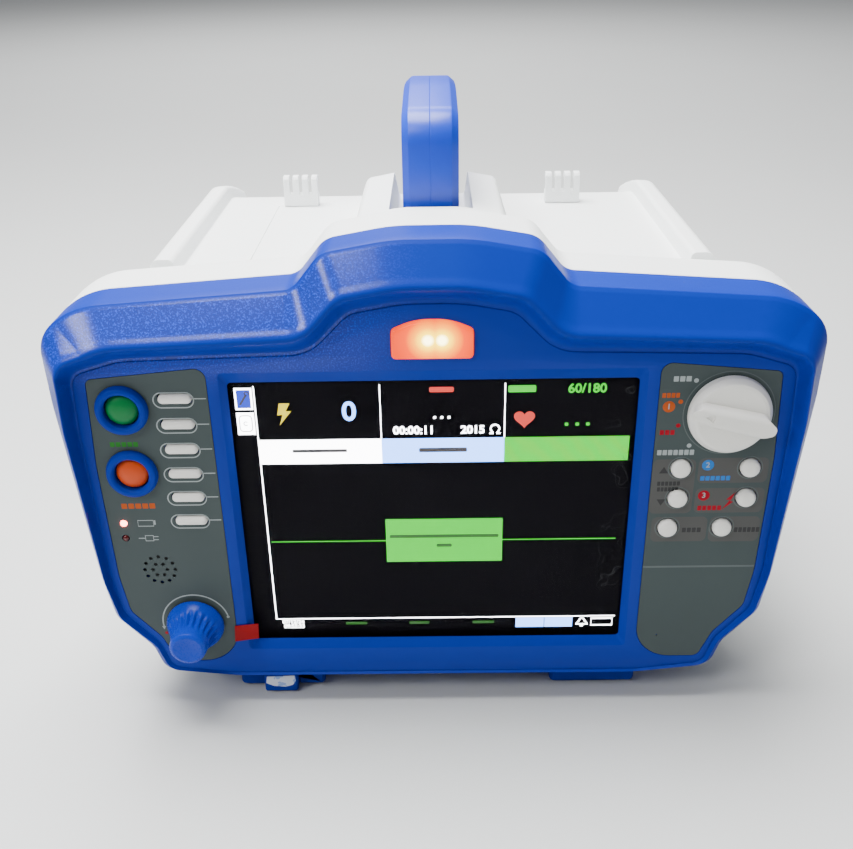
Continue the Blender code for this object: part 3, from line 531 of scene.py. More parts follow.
def box(name, x, y, z, material):
    return slab(name, [Vector((x[0], z[0])), Vector((x[1], z[0])), Vector((x[1], z[1])), Vector((x[0], z[1]))],
                y[0], y[1], material)


def lathe(name, profile, place, axis, material, steps=64, ring=False, soft=3):
    """A solid of revolution. The profile is (radius, distance along the axis, corner radius)."""
    sign = -1 if axis.startswith("-") else 1
    points = rounded([(*corner, 0)[:3] for corner in profile], soft, ring)
    loops = []
    for radius, along in points:
        turns = [2 * math.pi * step / steps for step in range(steps)]
        loops.append([Vector(on_axis(axis[-1], max(radius, 0) * math.cos(turn), max(radius, 0) * math.sin(turn),
                                     sign * along)) + Vector(place) for turn in turns])
    return loft(name, loops, material, ring)


def pin(place, axis, radius, length, steps=32):
    """A plain round cutting tool."""
    return lathe("tool", [(0, 0), (radius, 0), (radius, length), (0, length)], place, axis, "black", steps)


def baked(piece):
    """The piece with its modifiers turned into mesh."""
    depsgraph = bpy.context.evaluated_depsgraph_get()
    mesh = bpy.data.meshes.new_from_object(piece.evaluated_get(depsgraph))
    piece.modifiers.clear()
    piece.data = mesh
    return piece


def joined(pieces):
    """Pieces merged into the first, each keeping its finish."""
    first, *others = pieces
    work = bmesh.new()
    work.from_mesh(first.data)
    for other in others:
        slots = []
        for material in other.data.materials:
            if material.name not in first.data.materials:
                first.data.materials.append(material)
            slots.append(first.data.materials.find(material.name))
        start = len(work.faces)
        work.from_mesh(other.data)
        work.faces.ensure_lookup_table()
        for face in work.faces[start:]:
            face.material_index = slots[face.material_index]
        bpy.data.objects.remove(other, do_unlink=True)
    work.to_mesh(first.data)
    work.free()
    return first


def combine(target, tools, operation="DIFFERENCE"):
    """Cut tools that don't touch one another out of a piece, or add them to it."""
    tool = joined(tools)
    change = target.modifiers.new("Combine", "BOOLEAN")
    change.operation, change.solver, change.object = operation, "EXACT", tool
    baked(target)
    bpy.data.objects.remove(tool, do_unlink=True)


def soften(piece, width, segments=3, angle=35):
    """Round the sharp edges of a piece."""
    edge = piece.modifiers.new("Bevel", "BEVEL")
    edge.width, edge.segments, edge.limit_method = width * MM, segments, "ANGLE"
    edge.angle_limit = math.radians(angle)
    edge.use_clamp_overlap = True
    return baked(piece)


def show(piece, body, slot, *nodes, angle=32):
    """Shade a finished piece, tie it to its body, and let it stand for its nodes."""
    piece.data.shade_smooth()
    piece.data.set_sharp_from_angle(angle=math.radians(angle))
    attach(piece, body)
    if nodes:
        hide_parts(*nodes)
    return piece


def refined(node, name, material, width=0.5, segments=2):
    """A finer copy of a blocky node: merged, flat faces joined, and sharp edges rounded."""
    work = bmesh.new()
    work.from_mesh(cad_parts[node].data)
    bmesh.ops.remove_doubles(work, verts=work.verts, dist=0.00001)
    bmesh.ops.dissolve_limit(work, angle_limit=math.radians(1.0), verts=work.verts, edges=work.edges)
    mesh = bpy.data.meshes.new(name)
    work.to_mesh(mesh)
    work.free()
    piece = bpy.data.objects.new(name, mesh)
    bpy.context.scene.collection.objects.link(piece)
    mesh.materials.append(finish(material))
    return soften(piece, width, segments)


# ---- repeats, as geometry node trees ----

def repeat_tree(name, layout):
    """A tree that sets copies of an item on a ring round the Y axis, or in a straight row."""
    known = bpy.data.node_groups.get(name)
    if known:
        return known
    tree = bpy.data.node_groups.new(name, "GeometryNodeTree")
    kinds = [("Item", "Geometry"), ("Count", "Int"), ("Spread", "Vector"), ("Start", "Vector"),
             ("Finish", "Material")]
    for label, kind in kinds:
        tree.interface.new_socket(label, in_out="INPUT", socket_type="NodeSocket" + kind)
    tree.interface.new_socket("Result", in_out="OUTPUT", socket_type="NodeSocketGeometry")
    graph = Graph(tree)
    given = graph.node("NodeGroupInput").outputs
    if layout == "ring":
        radius = graph.axes(given["Spread"])[0]
        round_it = graph.node("GeometryNodeMeshCircle", None, {"Vertices": given["Count"], "Radius": radius})
        points = graph.node("GeometryNodeTransform", None, {
            "Geometry": round_it.outputs[0], "Translation": given["Start"],
            "Rotation": (math.pi / 2, 0.0, 0.0)})
    else:
        points = graph.node("GeometryNodeMeshLine", {"mode": "OFFSET"}, {
            "Count": given["Count"], "Start Location": given["Start"], "Offset": given["Spread"]})
    copies = graph.node("GeometryNodeInstanceOnPoints", None, {"Points": points.outputs[0],
                                                             "Instance": given["Item"]})
    real = graph.node("GeometryNodeRealizeInstances", None, {"Geometry": copies.outputs[0]})
    painted = graph.node("GeometryNodeSetMaterial", None, {"Geometry": real.outputs[0],
                                                          "Material": given["Finish"]})
    graph.node("NodeGroupOutput", None, {"Result": painted.outputs[0]})
    return tree


def run_tree(piece, tree, values):
    """Run a tree on a piece with named inputs, and turn the result into plain mesh."""
    run = piece.modifiers.new("Nodes", "NODES")
    run.node_group = tree
    for item in tree.interface.items_tree:
        if item.in_out == "INPUT" and item.name in values:
            run[item.identifier] = values[item.name]
    return baked(piece)


def repeated(item, layout, count, spread, start=(0, 0, 0)):
    """Copies of a piece. Start and spread are in millimetres; a ring's radius is the spread's X."""
    values = {"Count": count, "Spread": [part * MM for part in spread], "Start": [part * MM for part in start],
              "Finish": item.data.materials[0]}
    return run_tree(item, repeat_tree("copies_in_a_" + layout, layout), values)


def flute_tree():
    """Pushes a skirt's surface inwards in evenly spaced hollows that fade at both ends."""
    tree = bpy.data.node_groups.new("fluted_skirt", "GeometryNodeTree")
    for label, kind in (("Skirt", "Geometry"), ("Flutes", "Float"), ("Depth", "Float"), ("Axis Point", "Vector"),
                        ("Front", "Float"), ("Back", "Float"), ("Finish", "Material")):
        tree.interface.new_socket(label, in_out="INPUT", socket_type="NodeSocket" + kind)
    tree.interface.new_socket("Result", in_out="OUTPUT", socket_type="NodeSocketGeometry")
    graph = Graph(tree)
    given = graph.node("NodeGroupInput").outputs
    place = graph.node("GeometryNodeInputPosition").outputs[0]
    offset = graph.node("ShaderNodeVectorMath", {"operation": "SUBTRACT"}, {0: place, 1: given["Axis Point"]})
    x, y, z = graph.axes(offset.outputs[0])
    radius = (x * x + z * z) ** 0.5
    wave = (z.math("ARCTAN2", x) * Number(graph, given["Flutes"])).math("COSINE") * 0.5 + 0.5
    front, back = Number(graph, given["Front"]), Number(graph, given["Back"])
    fade = y.between(front + 0.002, front + 0.007) * (1 - y.between(back - 0.0058, back - 0.0034))
    outside = radius.between(0.0078, 0.0084)
    share = (wave ** 1.6) * fade * outside * Number(graph, given["Depth"]) / radius
    push = graph.node("ShaderNodeCombineXYZ", None, {0: x * share * -1, 1: 0.0, 2: z * share * -1})
    moved = graph.node("GeometryNodeSetPosition", None, {"Geometry": given["Skirt"], "Offset": push.outputs[0]})
    real = graph.node("GeometryNodeRealizeInstances", None, {"Geometry": moved.outputs[0]})
    painted = graph.node("GeometryNodeSetMaterial", None, {"Geometry": real.outputs[0],
                                                          "Material": given["Finish"]})
    graph.node("NodeGroupOutput", None, {"Result": painted.outputs[0]})
    return tree


# ---- printed and lit artwork ----

class Artwork:
    """Thin flat shapes laid on a plane that faces the front."""

    def __init__(self, name, front, depth=0.05):
        self.name, self.front, self.depth = name, front, depth
        self.layers = []

    def fill(self, points, ink):
        self.layers.append(slab("layer", points, self.front, self.front + self.depth, ink))

    def bar(self, x0, x1, z0, z1, ink, radius=0.0):
        self.fill(rounded(rectangle(x0, x1, z0, z1, radius), 6), ink)

    def dot(self, x, z, radius, ink):
        self.fill(disc(x, z, radius, 24), ink)

    def line(self, points, width, ink, closed=False):
        """A stroke of even width along points."""
        points = [Vector(point) for point in points]
        sides = []
        for index, point in enumerate(points):
            before = points[index - 1] if closed or index else point
            after = points[(index + 1) % len(points)] if closed or index < len(points) - 1 else point
            along = (after - before).normalized()
            sides.append((point, Vector((-along.y, along.x)) * width / 2))
        loops = []
        for point, across in sides:
            loops.append([(point.x + across.x * side, self.front + deep * self.depth, point.y + across.y * side)
                          for side, deep in ((1, 0), (-1, 0), (-1, 1), (1, 1))])
        self.layers.append(loft("layer", loops, ink, closed))

    def word(self, x0, x1, z0, z1, ink, count):
        """A row of plain blocks in place of a printed word."""
        pitch = (x1 - x0) / count
        for index in range(count):
            self.bar(x0 + index * pitch + pitch * 0.1, x0 + (index + 1) * pitch - pitch * 0.1, z0, z1, ink, 0.25)

    def digits(self, text, x, z, height, ink, bold=0.0):
        """Numerals centred on a point."""
        curve = bpy.data.curves.new("digits", "FONT")
        curve.body, curve.align_x, curve.align_y = text, "CENTER", "CENTER"
        curve.size, curve.offset = height * 1.38 * MM, bold * MM
        curve.extrude = self.depth * MM / 2
        curve.resolution_u = 4
        drawn = bpy.data.objects.new("digits", curve)
        bpy.context.scene.collection.objects.link(drawn)
        depsgraph = bpy.context.evaluated_depsgraph_get()
        mesh = bpy.data.meshes.new_from_object(drawn.evaluated_get(depsgraph))
        bpy.data.objects.remove(drawn, do_unlink=True)
        centre = Vector((x, self.front + self.depth / 2, z + SCREEN_Z)) * MM
        mesh.transform(Matrix.Translation(centre) @ Matrix.Rotation(math.pi / 2, 4, "X"))
        mesh.materials.clear()
        mesh.materials.append(finish(ink))
        layer = bpy.data.objects.new("layer", mesh)
        bpy.context.scene.collection.objects.link(layer)
        self.layers.append(layer)

    def piece(self, body, slot):
        made = joined(self.layers)
        made.name = made.data.name = self.name
        work = bmesh.new()
        work.from_mesh(made.data)
        bmesh.ops.remove_doubles(work, verts=work.verts, dist=0.0000004)
        work.to_mesh(made.data)
        work.free()
        return show(made, body, slot, angle=10)


SLIM_BOLT = [(3.0, 5.0), (-1.6, 0.4), (0.1, 0.2), (-3.2, -5.0), (1.6, -0.7), (0.2, -0.4)]
BOLT = [(1.2, 4.9), (-1.9, 4.9), (-2.9, -0.4), (-0.7, -0.2), (-2.2, -5.0), (2.9, 1.4), (0.6, 1.3), (2.4, 4.9)]


def shape_at(points, x, z, scale=1.0):
    return [Vector((x + px * scale, z + pz * scale)) for px, pz in points]


def heart(x, z, size):
    points = []
    for step in range(40):
        turn = 2 * math.pi * step / 40
        across = 16 * math.sin(turn) ** 3
        up = 13 * math.cos(turn) - 5 * math.cos(2 * turn) - 2 * math.cos(3 * turn) - math.cos(4 * turn)
        points.append(Vector((x + across * size / 32, z + up * size / 32)))
    return points


# ---- front ----

def clamped(value):
    return max(0.0, min(1.0, value))


def rim_depth(across, z):
    """Y of the front face, from the rim's outer edge (across 0) to the flat panel (across 1)."""
    sizes = bpy.context.scene.monitor_sizes
    rise = clamped((z + 84.0) / 120.0)
    proud = 1.0 + (sizes.rim_proud / MM - 1.0) * rise * rise * (3 - 2 * rise)
    crest = sizes.crest
    slope = EDGE_Y - (proud + 2.0) * across / crest
    fall = clamped((across - crest + 0.02) / (0.98 - crest))
    drop = PANEL_Y + 0.5 - (proud + 0.5) * (0.5 + 0.5 * math.cos(fall * math.pi))
    share = clamped((across - crest + 0.14) / 0.28)
    share = share * share * (3 - 2 * share)
    return slope + (drop - slope) * share


def bezel_loops():
    outer, inner = rounded(mirrored(RIM_HALF), 12), rounded(mirrored(PANEL_HALF), 12)
    plate = rounded(inset(mirrored(PANEL_HALF), 0.55), 12)
    lip = rounded(inset(mirrored(RIM_HALF), 0.4), 12)
    loops = [[(p.x, SEAM_Y, p.y) for p in lip], [(p.x, SEAM_Y - 0.4, p.y) for p in outer],
             [(p.x, EDGE_Y + 6, p.y) for p in outer]]
    for turn in (0, 22, 45, 68):
        along = math.radians(turn)
        across, back = 0.028 * (1 - math.cos(along)), 0.7 * (1 - math.sin(along))
        loops.append([(a.lerp(b, across).x, EDGE_Y + back, a.lerp(b, across).y) for a, b in zip(outer, inner)])
    for step in range(2, 41):
        across = step / 40
        loop = []
        for one, two in zip(outer, inner):
            point = one.lerp(two, across)
            loop.append((point.x, rim_depth(across, point.y), point.y))
        loops.append(loop)
    for turn in (30, 60, 90):
        along = math.radians(turn)
        loops.append([(a.lerp(b, 1 - math.cos(along)).x, PANEL_Y + 0.5 * (1 - math.sin(along)),
                       a.lerp(b, 1 - math.cos(along)).y) for a, b in zip(inner, plate)])
    return loops


def control_tools(side, extra=0.0):
    """Cutting tools for the holes that the controls on one side pass through."""
    start, depth = PANEL_Y - 2, 14.0
    if side > 0:
        round_holes = [(node, BUTTON_HOLE) for node in ROUND_BUTTONS] + [("mode_knob", SHAFT_HOLE)]
    else:
        round_holes = [("power_collar", 9.7), ("alarm_collar", 9.7), ("battery_led", 1.8), ("mains_led", 1.8),
                       ("jog_knob", SHAFT_HOLE)]
    tools = []
    for node, radius in round_holes:
        spot = middle(node)
        tools.append(pin((spot.x, start, spot.z), "Y", radius + extra, depth))
    for node in SOFT_KEYS if side < 0 else ():
        key = middle(node)
        outline = rectangle(key.x - 8.0 - extra, key.x + 7.2 + extra, key.z - 2.75 - extra, key.z + 2.6 + extra,
                            2.5 + extra)
        tools.append(slab("tool", rounded(outline, 8), start, start + depth, "black"))
    return tools


def speaker_tools():
    """Two rings of small holes over the loudspeaker."""
    spot = middle("speaker")
    rings = []
    for count, radius in ((12, 7.0), (6, 3.3)):
        hole = pin((0, 0, -SCREEN_Z), "Y", 0.88, 6.0, 16)
        rings.append(repeated(hole, "ring", count, (radius, 0, 0), (spot.x, PANEL_Y - 1, spot.z + SCREEN_Z)))
    return rings


def build_bezel():
    bezel = loft("front_bezel_skin", bezel_loops(), "blue")
    bezel.data.materials.append(finish("band"))
    for face in bezel.data.polygons:
        if face.center.y < EDGE_Y * MM and face.normal.z > -0.05 and face.center.z > SCREEN_Z * MM:
            face.material_index = 1
    cavity = rounded(inset(mirrored(RIM_HALF), WALL), 4)
    shallow = rounded(inset(mirrored(PANEL_HALF), 1.0), 4)
    back = [(SEAM_Y + 1, cavity), (PANEL_Y + 12, cavity), (PANEL_Y + 3.2, shallow)]
    combine(bezel, [loft("tool", [[(p.x, y, p.y) for p in loop] for y, loop in back], "blue")])
    steps = [(PANEL_Y - 1.0, 91.4, 75.2, -72.0), (PANEL_Y + 0.02, 89.6, 73.4, -70.2),
             (PANEL_Y + 0.5, 89.0, 72.8, -69.6), (GLASS_Y - 0.9, 86.0, 66.2, -65.4),
             (GLASS_Y - 0.3, 85.3, 64.7, -64.6), (GLASS_Y + 12, 85.2, 64.5, -64.5)]
    loops = [[(p.x, y, p.y) for p in rounded(rectangle(-x, x, low, high, 1.8), 5)] for y, x, high, low in steps]
    tools = [loft("tool", loops, "blue")]
    for side in (1, -1):
        pocket = [(side * x, z, radius) for x, z, radius in OVERLAY]
        tools.append(slab("tool", rounded(pocket, 10), PANEL_Y - 1, PANEL_Y + 0.9, "blue"))
    lamp = rounded(inset(mirrored(LAMP_HALF), -0.3), 8)
    tools.append(slab("tool", lamp, PANEL_Y - 2, PANEL_Y + 8, "blue"))
    combine(bezel, tools)
    combine(bezel, control_tools(1, 0.2))
    combine(bezel, control_tools(-1, 0.2) + [pin((middle("speaker").x, PANEL_Y - 2, middle("speaker").z), "Y",
                                                8.4, 12)])
    show(bezel, "case", "blue_plastic", "front_bezel", angle=28)


def build_overlays():
    for node, side in (("left_overlay", -1), ("right_overlay", 1)):
        outline = inset(OVERLAY, 0.3)
        if side < 0:
            outline = [(-x, z, radius) for x, z, radius in reversed(outline)]
        panel = slab(node + "_skin", rounded(outline, 10), OVERLAY_Y, OVERLAY_Y + 0.55, "grey")
        combine(panel, control_tools(side) + (speaker_tools() if side < 0 else [
            pin((104.3, OVERLAY_Y - 1, -64.3), "Y", 0.5, 3, 16)]))
        show(panel, "case", "overlay_grey", node)


def print_left():
    art = Artwork("left_overlay_print", OVERLAY_Y - 0.03)
    power, alarm = middle("power_collar"), middle("alarm_collar")
    art.word(power.x - 8.0, power.x + 4.6, power.z - 17.8, power.z - 15.5, "ink_green", 5)
    art.word(alarm.x - 7.8, alarm.x + 7.8, alarm.z - 18.2, alarm.z - 15.6, "ink_orange", 5)
    for node in SOFT_KEYS:
        key = middle(node)
        x, z = key.x - 1.1, key.z - 0.9
        capsule = rounded(rectangle(x - 8.5, x + 8.5, z - 3.45, z + 3.45, 3.4), 10)
        art.line(capsule, 0.5, "ink_white", True)
        art.line([(x + 8.8, z + 0.6), (-95.4, z + 0.6)], 0.45, "ink_white")
    led, mains = middle("battery_led"), middle("mains_led")
    x, z = led.x + 10.3, led.z + 0.1
    art.line([(x - 3.8, z - 1.5), (x + 3.1, z - 1.5), (x + 3.1, z + 1.5), (x - 3.8, z + 1.5)], 0.4, "ink_white",
             True)
    art.bar(x + 3.3, x + 4.1, z - 0.8, z + 1.5, "ink_white")
    x, z = mains.x + 10.6, mains.z - 0.1
    art.line([(x - 1.7, z - 1.4), (x + 1.9, z - 1.4), (x + 1.9, z + 1.4), (x - 1.7, z + 1.4)], 0.4, "ink_white",
             True)
    art.line([(x - 4.8, z), (x - 1.8, z)], 0.4, "ink_white")
    for up in (-0.8, 0.8):
        art.line([(x + 2.0, z + up), (x + 4.2, z + up)], 0.4, "ink_white")
    jog = middle("jog_knob")
    art.line(arc(jog.x, jog.z, 15.7, 12, 188, 40), 0.6, "ink_white")
    art.dot(jog.x + 15.3, jog.z + 3.0, 0.7, "ink_white")
    art.fill(shape_at([(-0.9, 0.5), (0.9, 0.5), (0, -1.4)], jog.x - 15.6, jog.z - 2.6), "ink_white")
    art.dot(jog.x - 14.8, jog.z - 6.0, 0.8, "ink_red")
    art.piece("case", "overlay_grey")


def print_right():
    art = Artwork("right_overlay_print", OVERLAY_Y - 0.03)
    patches = [(94.9, 113.6, 3.0, 30.3), (114.7, 145.0, 18.3, 30.7), (114.7, 145.0, 3.1, 15.7),
               (96.7, 121.6, -11.8, 1.1), (122.6, 145.0, -12.1, 1.0)]
    ground = Artwork("right_overlay_patches", OVERLAY_Y - 0.015)
    for x0, x1, z0, z1 in patches:
        ground.bar(x0, x1, z0, z1, "ink_patch", 2.6)
    patched = ground.piece("case", "overlay_grey")
    holes = [pin((middle(node).x, OVERLAY_Y - 1, middle(node).z), "Y", BUTTON_HOLE, 3) for node in ROUND_BUTTONS]
    combine(patched, holes)
    knob = middle("mode_knob")
    for turn, ink in ((135, "ink_white"), (165, "ink_orange"), (195, "ink_red"), (225, "ink_white")):
        spot = arc(knob.x, knob.z, 21.6, turn, turn, 1)[0]
        art.dot(spot.x, spot.y, 1.0, ink)
    for x0, x1, z0, z1, ink, count in (
            (99.8, 107.7, 67.1, 69.5, "ink_white", 3), (95.8, 103.5, 59.7, 61.9, "ink_orange", 4),
            (96.2, 102.9, 42.2, 44.5, "ink_red", 3), (95.9, 112.2, 32.4, 34.9, "ink_white", 7),
            (97.3, 107.6, 17.2, 19.3, "ink_black", 6), (97.5, 107.0, 14.3, 16.4, "ink_black", 6),
            (115.8, 129.2, 19.6, 21.8, "ink_blue", 6), (116.1, 127.0, 4.4, 6.8, "ink_red", 5),
            (110.4, 119.2, -7.0, -4.6, "ink_black", 4), (133.7, 145.4, -7.2, -4.7, "ink_black", 6)):
        art.word(x0, x1, z0, z1, ink, count)
    for x, z, ink, number in ((99.2, 55.5, "ink_orange", "1"), (118.7, 27.2, "ink_blue", "2"),
                              (118.5, 12.0, "ink_red", "3")):
        art.dot(x, z, 2.6, ink)
        mark = Artwork("number_%s" % number, OVERLAY_Y - 0.06)
        mark.digits(number, x, z, 2.6, "ink_white", 0.06)
        mark.piece("case", "overlay_grey")
    art.fill(shape_at(SLIM_BOLT, 130.1, 9.4), "ink_red")
    art.fill(shape_at([(-2.0, -1.5), (2.0, -1.5), (0, 1.7)], 99.8, 24.9), "ink_black")
    art.fill(shape_at([(-2.0, 1.5), (0, -1.7), (2.0, 1.5)], 99.9, 8.8), "ink_black")
    art.bar(94.8, 145.4, -26.0, -25.0, "ink_faint")
    for node in ROUND_BUTTONS:
        spot = middle(node)
        art.line(disc(spot.x, spot.z, 5.4, 40), 0.4, "ink_faint", True)
    art.line(disc(knob.x, knob.z, 19.3, 72), 0.4, "ink_faint", True)
    art.piece("case", "overlay_grey")


# ---- screen ----

def screen_picture():
    """The monitoring picture: columns of readings, three banners, a trace and a footer."""
    art = Artwork("screen_picture", GLASS_Y + 1.62, 0.12)
    drop = -0.8
    left, top, right = -76.5, 64.4, 85.1
    columns = (left, -22.8, 30.7, right)
    banner = (39.4 + drop, 27.4 + drop)
    art.bar(-84.9, -77.3, 53.4, 63.6, "lit_white")
    art.bar(-84.9, -77.3, 41.4, 52.0, "lit_white")
    art.bar(left - 0.25, left + 0.25, -57.9, top, "lit_white")
    for x in columns[1:3]:
        art.bar(x - 0.2, x + 0.2, banner[0], top, "lit_white")
    for ink, x0, x1 in zip(("lit_white", "lit_pale", "lit_green"), columns, columns[1:]):
        art.bar(x0, x1, banner[1], banner[0], ink)
    art.fill(shape_at(BOLT, -64.2, 51.0, 1.05), "lit_yellow")
    art.digits("0", -36.3, 51.6, 9.2, "lit_pale", 0.25)
    art.bar(-1.6, 8.8, 60.6, 63.0, "lit_red", 0.6)
    for index in (-1, 0, 1):
        art.bar(3.1 + index * 3.1, 4.1 + index * 3.1, 48.1, 49.1, "lit_white")
        art.bar(61.3 + index * 4.6, 62.8 + index * 4.6, 43.9, 45.3, "lit_box")
    art.digits("00:00:11", -8.6, 42.4, 3.8, "lit_white", 0.14)
    art.digits("2015", 17.0, 42.4, 3.8, "lit_white", 0.14)
    art.line(arc(26.6, 42.9, 1.9, -60, 240, 20), 0.55, "lit_white")
    for side in (-1, 1):
        art.bar(26.6 + side * 1.5 - 0.9, 26.6 + side * 1.5 + 0.9, 40.4, 41.0, "lit_white")
    art.bar(32.0, 43.8, 60.1, 63.3, "lit_box", 0.6)
    art.digits("60/180", 65.6, 61.4, 4.3, "lit_box", 0.14)
    art.fill(heart(39.2, 47.6, 9.0), "lit_red")
    art.bar(left + 1.2, right - 2.6, -14.3, -13.9, "lit_box")
    art.bar(left, right, -58.1, -57.7, "lit_white")
    art.digits("07/12/24", -68.6, -59.7, 2.1, "lit_white", 0.06)
    art.digits("09:55:33", -68.2, -62.3, 2.1, "lit_white", 0.06)
    for x0, x1 in ((-43.4, -33.2), (-12.9, -3.4), (17.4, 27.6)):
        art.bar(x0, x1, -61.5, -60.1, "lit_dark", 0.4)
    for x0, x1 in ((38.0, 51.4), (51.8, 65.0)):
        art.bar(x0, x1, -64.0, -58.4, "lit_pale")
    bell = [(-2.9, -1.2), (-1.6, 0.4), (-0.5, 2.3), (0.5, 2.3), (1.6, 0.4), (2.9, -1.2)]
    art.line(shape_at(bell, 69.6, -61.4), 0.55, "lit_white", True)
    art.bar(68.9, 70.3, -63.9, -62.8, "lit_white")
    art.line(shape_at([(-5, -2), (5, -2), (5, 2), (-5, 2)], 79.0, -61.3), 0.6, "lit_white", True)
    art.piece("case", "window")
    over = Artwork("screen_picture_marks", GLASS_Y + 1.55, 0.06)
    over.bar(-22.5, 30.7, -25.6, -2.5, "lit_box")
    over.bar(-84.1, -78.1, 54.2, 62.8, "lit_blue")
    over.bar(-62.0, -38.0, 32.3, 33.8, "lit_grey", 0.5)
    over.bar(-6.5, 14.5, 31.8, 33.9, "lit_grey", 0.6)
    over.line(rounded(rectangle(-83.8, -78.4, 43.0, 50.6, 1.6), 5), 0.4, "lit_grey", True)
    over.piece("case", "window")
    top_marks = Artwork("screen_picture_lines", GLASS_Y + 1.51, 0.04)
    top_marks.line([(-82.8, 55.8), (-79.8, 60.6)], 0.9, "lit_grey")
    top_marks.line(arc(-79.6, 61.0, 0.9, -40, 220, 10), 0.6, "lit_grey")
    top_marks.line(arc(-81.1, 46.8, 0.9, 40, 320, 10), 0.35, "lit_grey")
    top_marks.bar(-20.8, 29.0, -12.6, -10.9, "lit_dark", 0.5)
    top_marks.bar(0.6, 7.6, -17.6, -15.9, "lit_dark", 0.5)
    top_marks.piece("case", "window")


def build_screen():
    low, high = span("display_window")
    pane = slab("display_window_pane", rounded(round_box("display_window"), 3), low.y, high.y, "window")
    show(pane, "case", "window", "display_window")
    low, high = span("lcd_module")
    panel = slab("lcd_panel", rounded(round_box("lcd_module"), 3), low.y, high.y, "glass_black")
    show(panel, "case", "black_plastic", "lcd_module")
    screen_picture()
    low, high = span("film_pull_tab")
    tab = [(-95.2, -56.2, 0.4), (-83.9, -54.9, 0.4), (-84.3, -63.4, 0.4), (-95.9, -65.2, 0.4)]
    strip = slab("film_pull_tab_strip", rounded(tab, 4), low.y, high.y, "red_film", edge=0.2)
    show(strip, "case", "red_film", "film_pull_tab")
    low, high = span("alarm_lamp")
    outline = rounded(mirrored(LAMP_HALF), 10)
    lamp = slab("alarm_lamp_lens", outline, low.y, high.y, "lamp", edge=1.4, ends=(True, False))
    show(lamp, "case", "lamp_amber", "alarm_lamp", angle=60)


# ---- push buttons ----

def dome(radius, proud, side, depth, steps=10):
    """Profile of a domed cap with a straight side and a stem behind it."""
    arc_points = [(radius * math.sin(turn), side + (proud - side) * math.cos(turn))
                  for turn in (math.pi / 2 * step / steps for step in range(steps + 1))]
    return arc_points + [(radius, -depth + 3), (radius * 0.5, -depth + 3), (radius * 0.5, -depth), (0, -depth)]


def build_buttons():
    for node, material, slot in (("power", "green_button", "button_green"), ("alarm", "orange_button",
                                                                             "button_orange")):
        spot = middle(node + "_collar")
        profile = [(7.55, -5.4, 0), (7.55, 2.0, 0.7), (8.5, 3.3, 1.2), (10.6, 2.9, 1.2), (11.3, 0.9, 0.8),
                   (11.3, 0, 0.2), (9.4, 0, 0), (9.4, -5.4, 0)]
        collar = lathe(node + "_collar_ring", profile, (spot.x, PANEL_Y - 0.3, spot.z), "-Y", "blue", 72, True, 5)
        show(collar, "case", "blue_plastic", node + "_collar")
        cap = lathe(node + "_button_cap", dome(7.2, 2.6, -0.4, 9), (spot.x, PANEL_Y, spot.z), "-Y", material, 64)
        show(cap, node + "_button", slot, node + "_button")
    for node in ROUND_BUTTONS:
        spot = middle(node)
        profile = [(0, 2.75), (2.0, 2.6, 2.0), (3.7, 2.1, 1.2), (4.25, 0.9, 0.8), (4.25, -6), (2.1, -6), (2.1, -9),
                   (0, -9)]
        cap = lathe(node + "_cap", profile, (spot.x, PANEL_Y, spot.z), "-Y", "key_white", 48, soft=5)
        show(cap, node, "button_white", node)
    for node in SOFT_KEYS:
        low, high = span(node)
        spot = middle(node)
        outline = rounded(rectangle(spot.x - 7.5, spot.x + 6.7, spot.z - 2.25, spot.z + 1.85, 2.0), 10)
        key = slab(node + "_cap", outline, low.y, high.y, "key_white", edge=1.5, ends=(True, False))
        show(key, node, "button_white", node, angle=60)
    for node, material in (("battery_led", "led_on"), ("mains_led", "led_off")):
        spot = middle(node)
        lens = lathe(node + "_lens", dome(1.5, 0.8, -0.3, 9, 6), (spot.x, PANEL_Y, spot.z), "-Y", material, 24)
        show(lens, "case", "red_lens", node)


# ---- knobs ----

def build_mode_knob():
    spot, base = middle("mode_knob"), PANEL_Y - 0.4
    profile = [(0, 5.3), (14.2, 5.3, 0.9), (15.6, 5.0, 0.5), (17.4, 2.6, 0.9), (17.6, 1.0, 0.5), (17.6, 0), (3.2, 0),
               (3.2, -9), (0, -9)]
    knob = lathe("mode_knob_body", profile, (spot.x, base, spot.z), "-Y", "key_white", 96)
    turn = math.radians(POINTER_TURN)
    along, across = Vector((math.cos(turn), math.sin(turn))), Vector((-math.sin(turn), math.cos(turn)))
    loops = []
    for deep, grow in ((2.0, 0.9), (5.0, 0.6), (7.6, 0.2), (8.6, -0.1), (9.4, -0.6), (9.85, -1.3), (10.0, -2.1)):
        corners = []
        for reach, half in ((16.6, 4.0 + grow), (16.6, -4.0 - grow), (-15.9, -4.9 - grow), (-15.9, 4.9 + grow)):
            place = Vector((spot.x, spot.z)) + along * (reach + math.copysign(min(0.0, grow), reach)) + across * half
            corners.append((place.x, place.y, abs(half) * 0.9))
        loops.append([(p.x, base - deep, p.y) for p in rounded(corners, 8)])
    combine(knob, [loft("tool", loops, "key_white")], "UNION")
    arrow = [(13.0, 0), (9.0, 1.7), (9.0, -1.7)]
    mark = [Vector((spot.x, spot.z)) + along * a + across * b for a, b in arrow]
    combine(knob, [slab("tool", mark, base - 11, base - 9.3, "grey")])
    show(knob, "mode_knob", "button_white", "mode_knob", angle=40)


